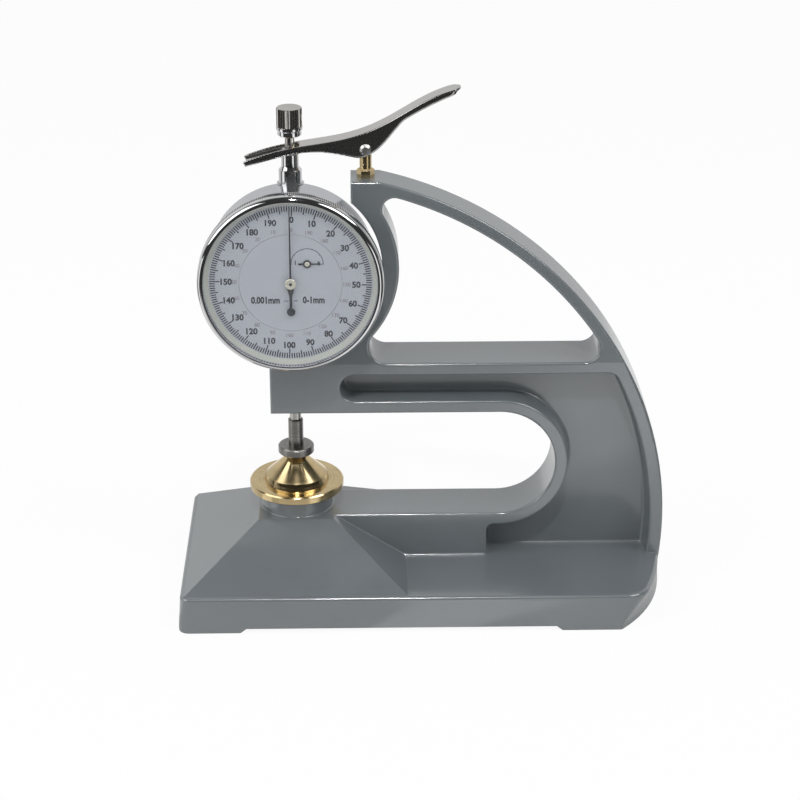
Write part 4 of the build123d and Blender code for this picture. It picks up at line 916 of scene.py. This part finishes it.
def light_room(scene, s):
    """Make the world's light.

    It is white to the camera and through glass, and for metal a pale wall behind and a dark side in front.
    What is matt gets room * (0.76 + 0.60 up + 0.10 back), with up and back the parts of the direction.
    """
    world = bpy.data.worlds.new("room")
    scene.world = world
    room = Nodes(world)
    _, back, up = room.parts(room.node("TexCoord", {}, {}, output="Generated"))
    seen = (room.ray("Camera") + room.ray("Transmission")).clamped()
    mirrored = room.ray("Glossy")
    wall = room.range(back, 0.15, 0.5) * s.wall + s.dark
    amount = mirrored * wall + (1 - mirrored) * s.room * (0.76 + up * 0.60 + back * 0.10)
    amount = seen + (1 - seen) * amount
    sky = room.node("Background", {}, {"Color": (1.0, 1.0, 1.0), "Strength": amount})
    room.give(room.tree.nodes.new("ShaderNodeOutputWorld").inputs["Surface"], sky)


def soft_light(scene, name, way, distance, size, power):
    """Square lamp in a direction from the middle of the gauge, facing it."""
    target = Vector((dial_x, 0.0, 100 * MM))
    lamp = bpy.data.lights.new(name, "AREA")
    lamp.shape = "SQUARE"
    lamp.size = size
    lamp.energy = power
    holder = bpy.data.objects.new(name, lamp)
    out = Vector(way).normalized()
    holder.location = target + distance * out
    holder.rotation_euler = (-out).to_track_quat("-Z", "Y").to_euler()
    scene.collection.objects.link(holder)


class GAUGE_OT_studio(Operator):
    """Lay the pale floor, hang the lights and set up the camera"""

    bl_idname = "gauge.studio"
    bl_label = "Studio"

    def execute(self, context):
        scene = context.scene
        s = scene.gauge.studio
        scene.view_settings.view_transform = "Standard"

        reach = 4.0
        corners = [(-reach, -reach, 0.0), (reach, -reach, 0.0), (reach, reach, 0.0), (-reach, reach, 0.0)]
        mesh = bpy.data.meshes.new("floor")
        mesh.from_pydata(corners, [], [(0, 1, 2, 3)])
        mesh.materials.append(floor_finish(s))
        floor = bpy.data.objects.new("floor", mesh)
        scene.collection.objects.link(floor)

        light_room(scene, s)

        # Lamps: name, way from the middle of the gauge, distance, size, power
        lamps = (("left_light", (-0.78, -0.36, 0.56), 1.25, 1.05, s.key_power),
                 ("top_light", (0.02, -0.55, 0.83), 1.4, 0.08, s.top_power),
                 ("right_light", (0.64, -0.34, 0.69), 1.25, 0.62, s.fill_power))
        for lamp in lamps:
            soft_light(scene, *lamp)

        camera = bpy.data.cameras.new("view")
        camera.lens = s.lens
        camera.sensor_width = 36.0
        camera.clip_end = 20.0
        ahead = Vector((sin(s.yaw) * cos(s.fall), cos(s.yaw) * cos(s.fall), -sin(s.fall)))
        right = Vector((cos(s.yaw), -sin(s.yaw), 0.0))
        turn = Matrix((right, right.cross(ahead), -ahead)).transposed().to_4x4()
        view = bpy.data.objects.new("view", camera)
        view.matrix_world = Matrix.Translation(Vector(s.camera)) @ turn
        scene.collection.objects.link(view)
        scene.camera = view
        return {"FINISHED"}


class GAUGE_PT_sidebar(Panel):
    """Buttons for the gauge's pieces and the settings behind them"""

    bl_label = "Thickness Gauge"
    bl_idname = "GAUGE_PT_sidebar"
    bl_space_type = "VIEW_3D"
    bl_region_type = "UI"
    bl_category = "Gauge"

    def draw(self, context):
        for step in STEPS:
            self.layout.operator(step.bl_idname)
        for group in ("casting", "metal", "dial", "studio"):
            settings = getattr(context.scene.gauge, group)
            column = self.layout.column(heading=group.capitalize())
            for name in settings.bl_rna.properties.keys():
                if name not in ("rna_type", "name"):
                    column.prop(settings, name)


STEPS = (GAUGE_OT_studio, GAUGE_OT_casting, GAUGE_OT_anvil, GAUGE_OT_spindle, GAUGE_OT_case,
         GAUGE_OT_bezel, GAUGE_OT_dial, GAUGE_OT_pointers, GAUGE_OT_lever, GAUGE_OT_movement)
CLASSES = (CastingSettings, MetalSettings, DialSettings, StudioSettings, GaugeSettings, *STEPS,
           GAUGE_PT_sidebar)


def register():
    for cls in CLASSES:
        bpy.utils.register_class(cls)
    bpy.types.Scene.gauge = PointerProperty(type=GaugeSettings)


def unregister():
    del bpy.types.Scene.gauge
    for cls in reversed(CLASSES):
        bpy.utils.unregister_class(cls)


def main():
    register()
    for step in STEPS:
        group, name = step.bl_idname.split(".")
        getattr(getattr(bpy.ops, group), name)()
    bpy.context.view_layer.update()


if __name__ == "__main__":
    main()
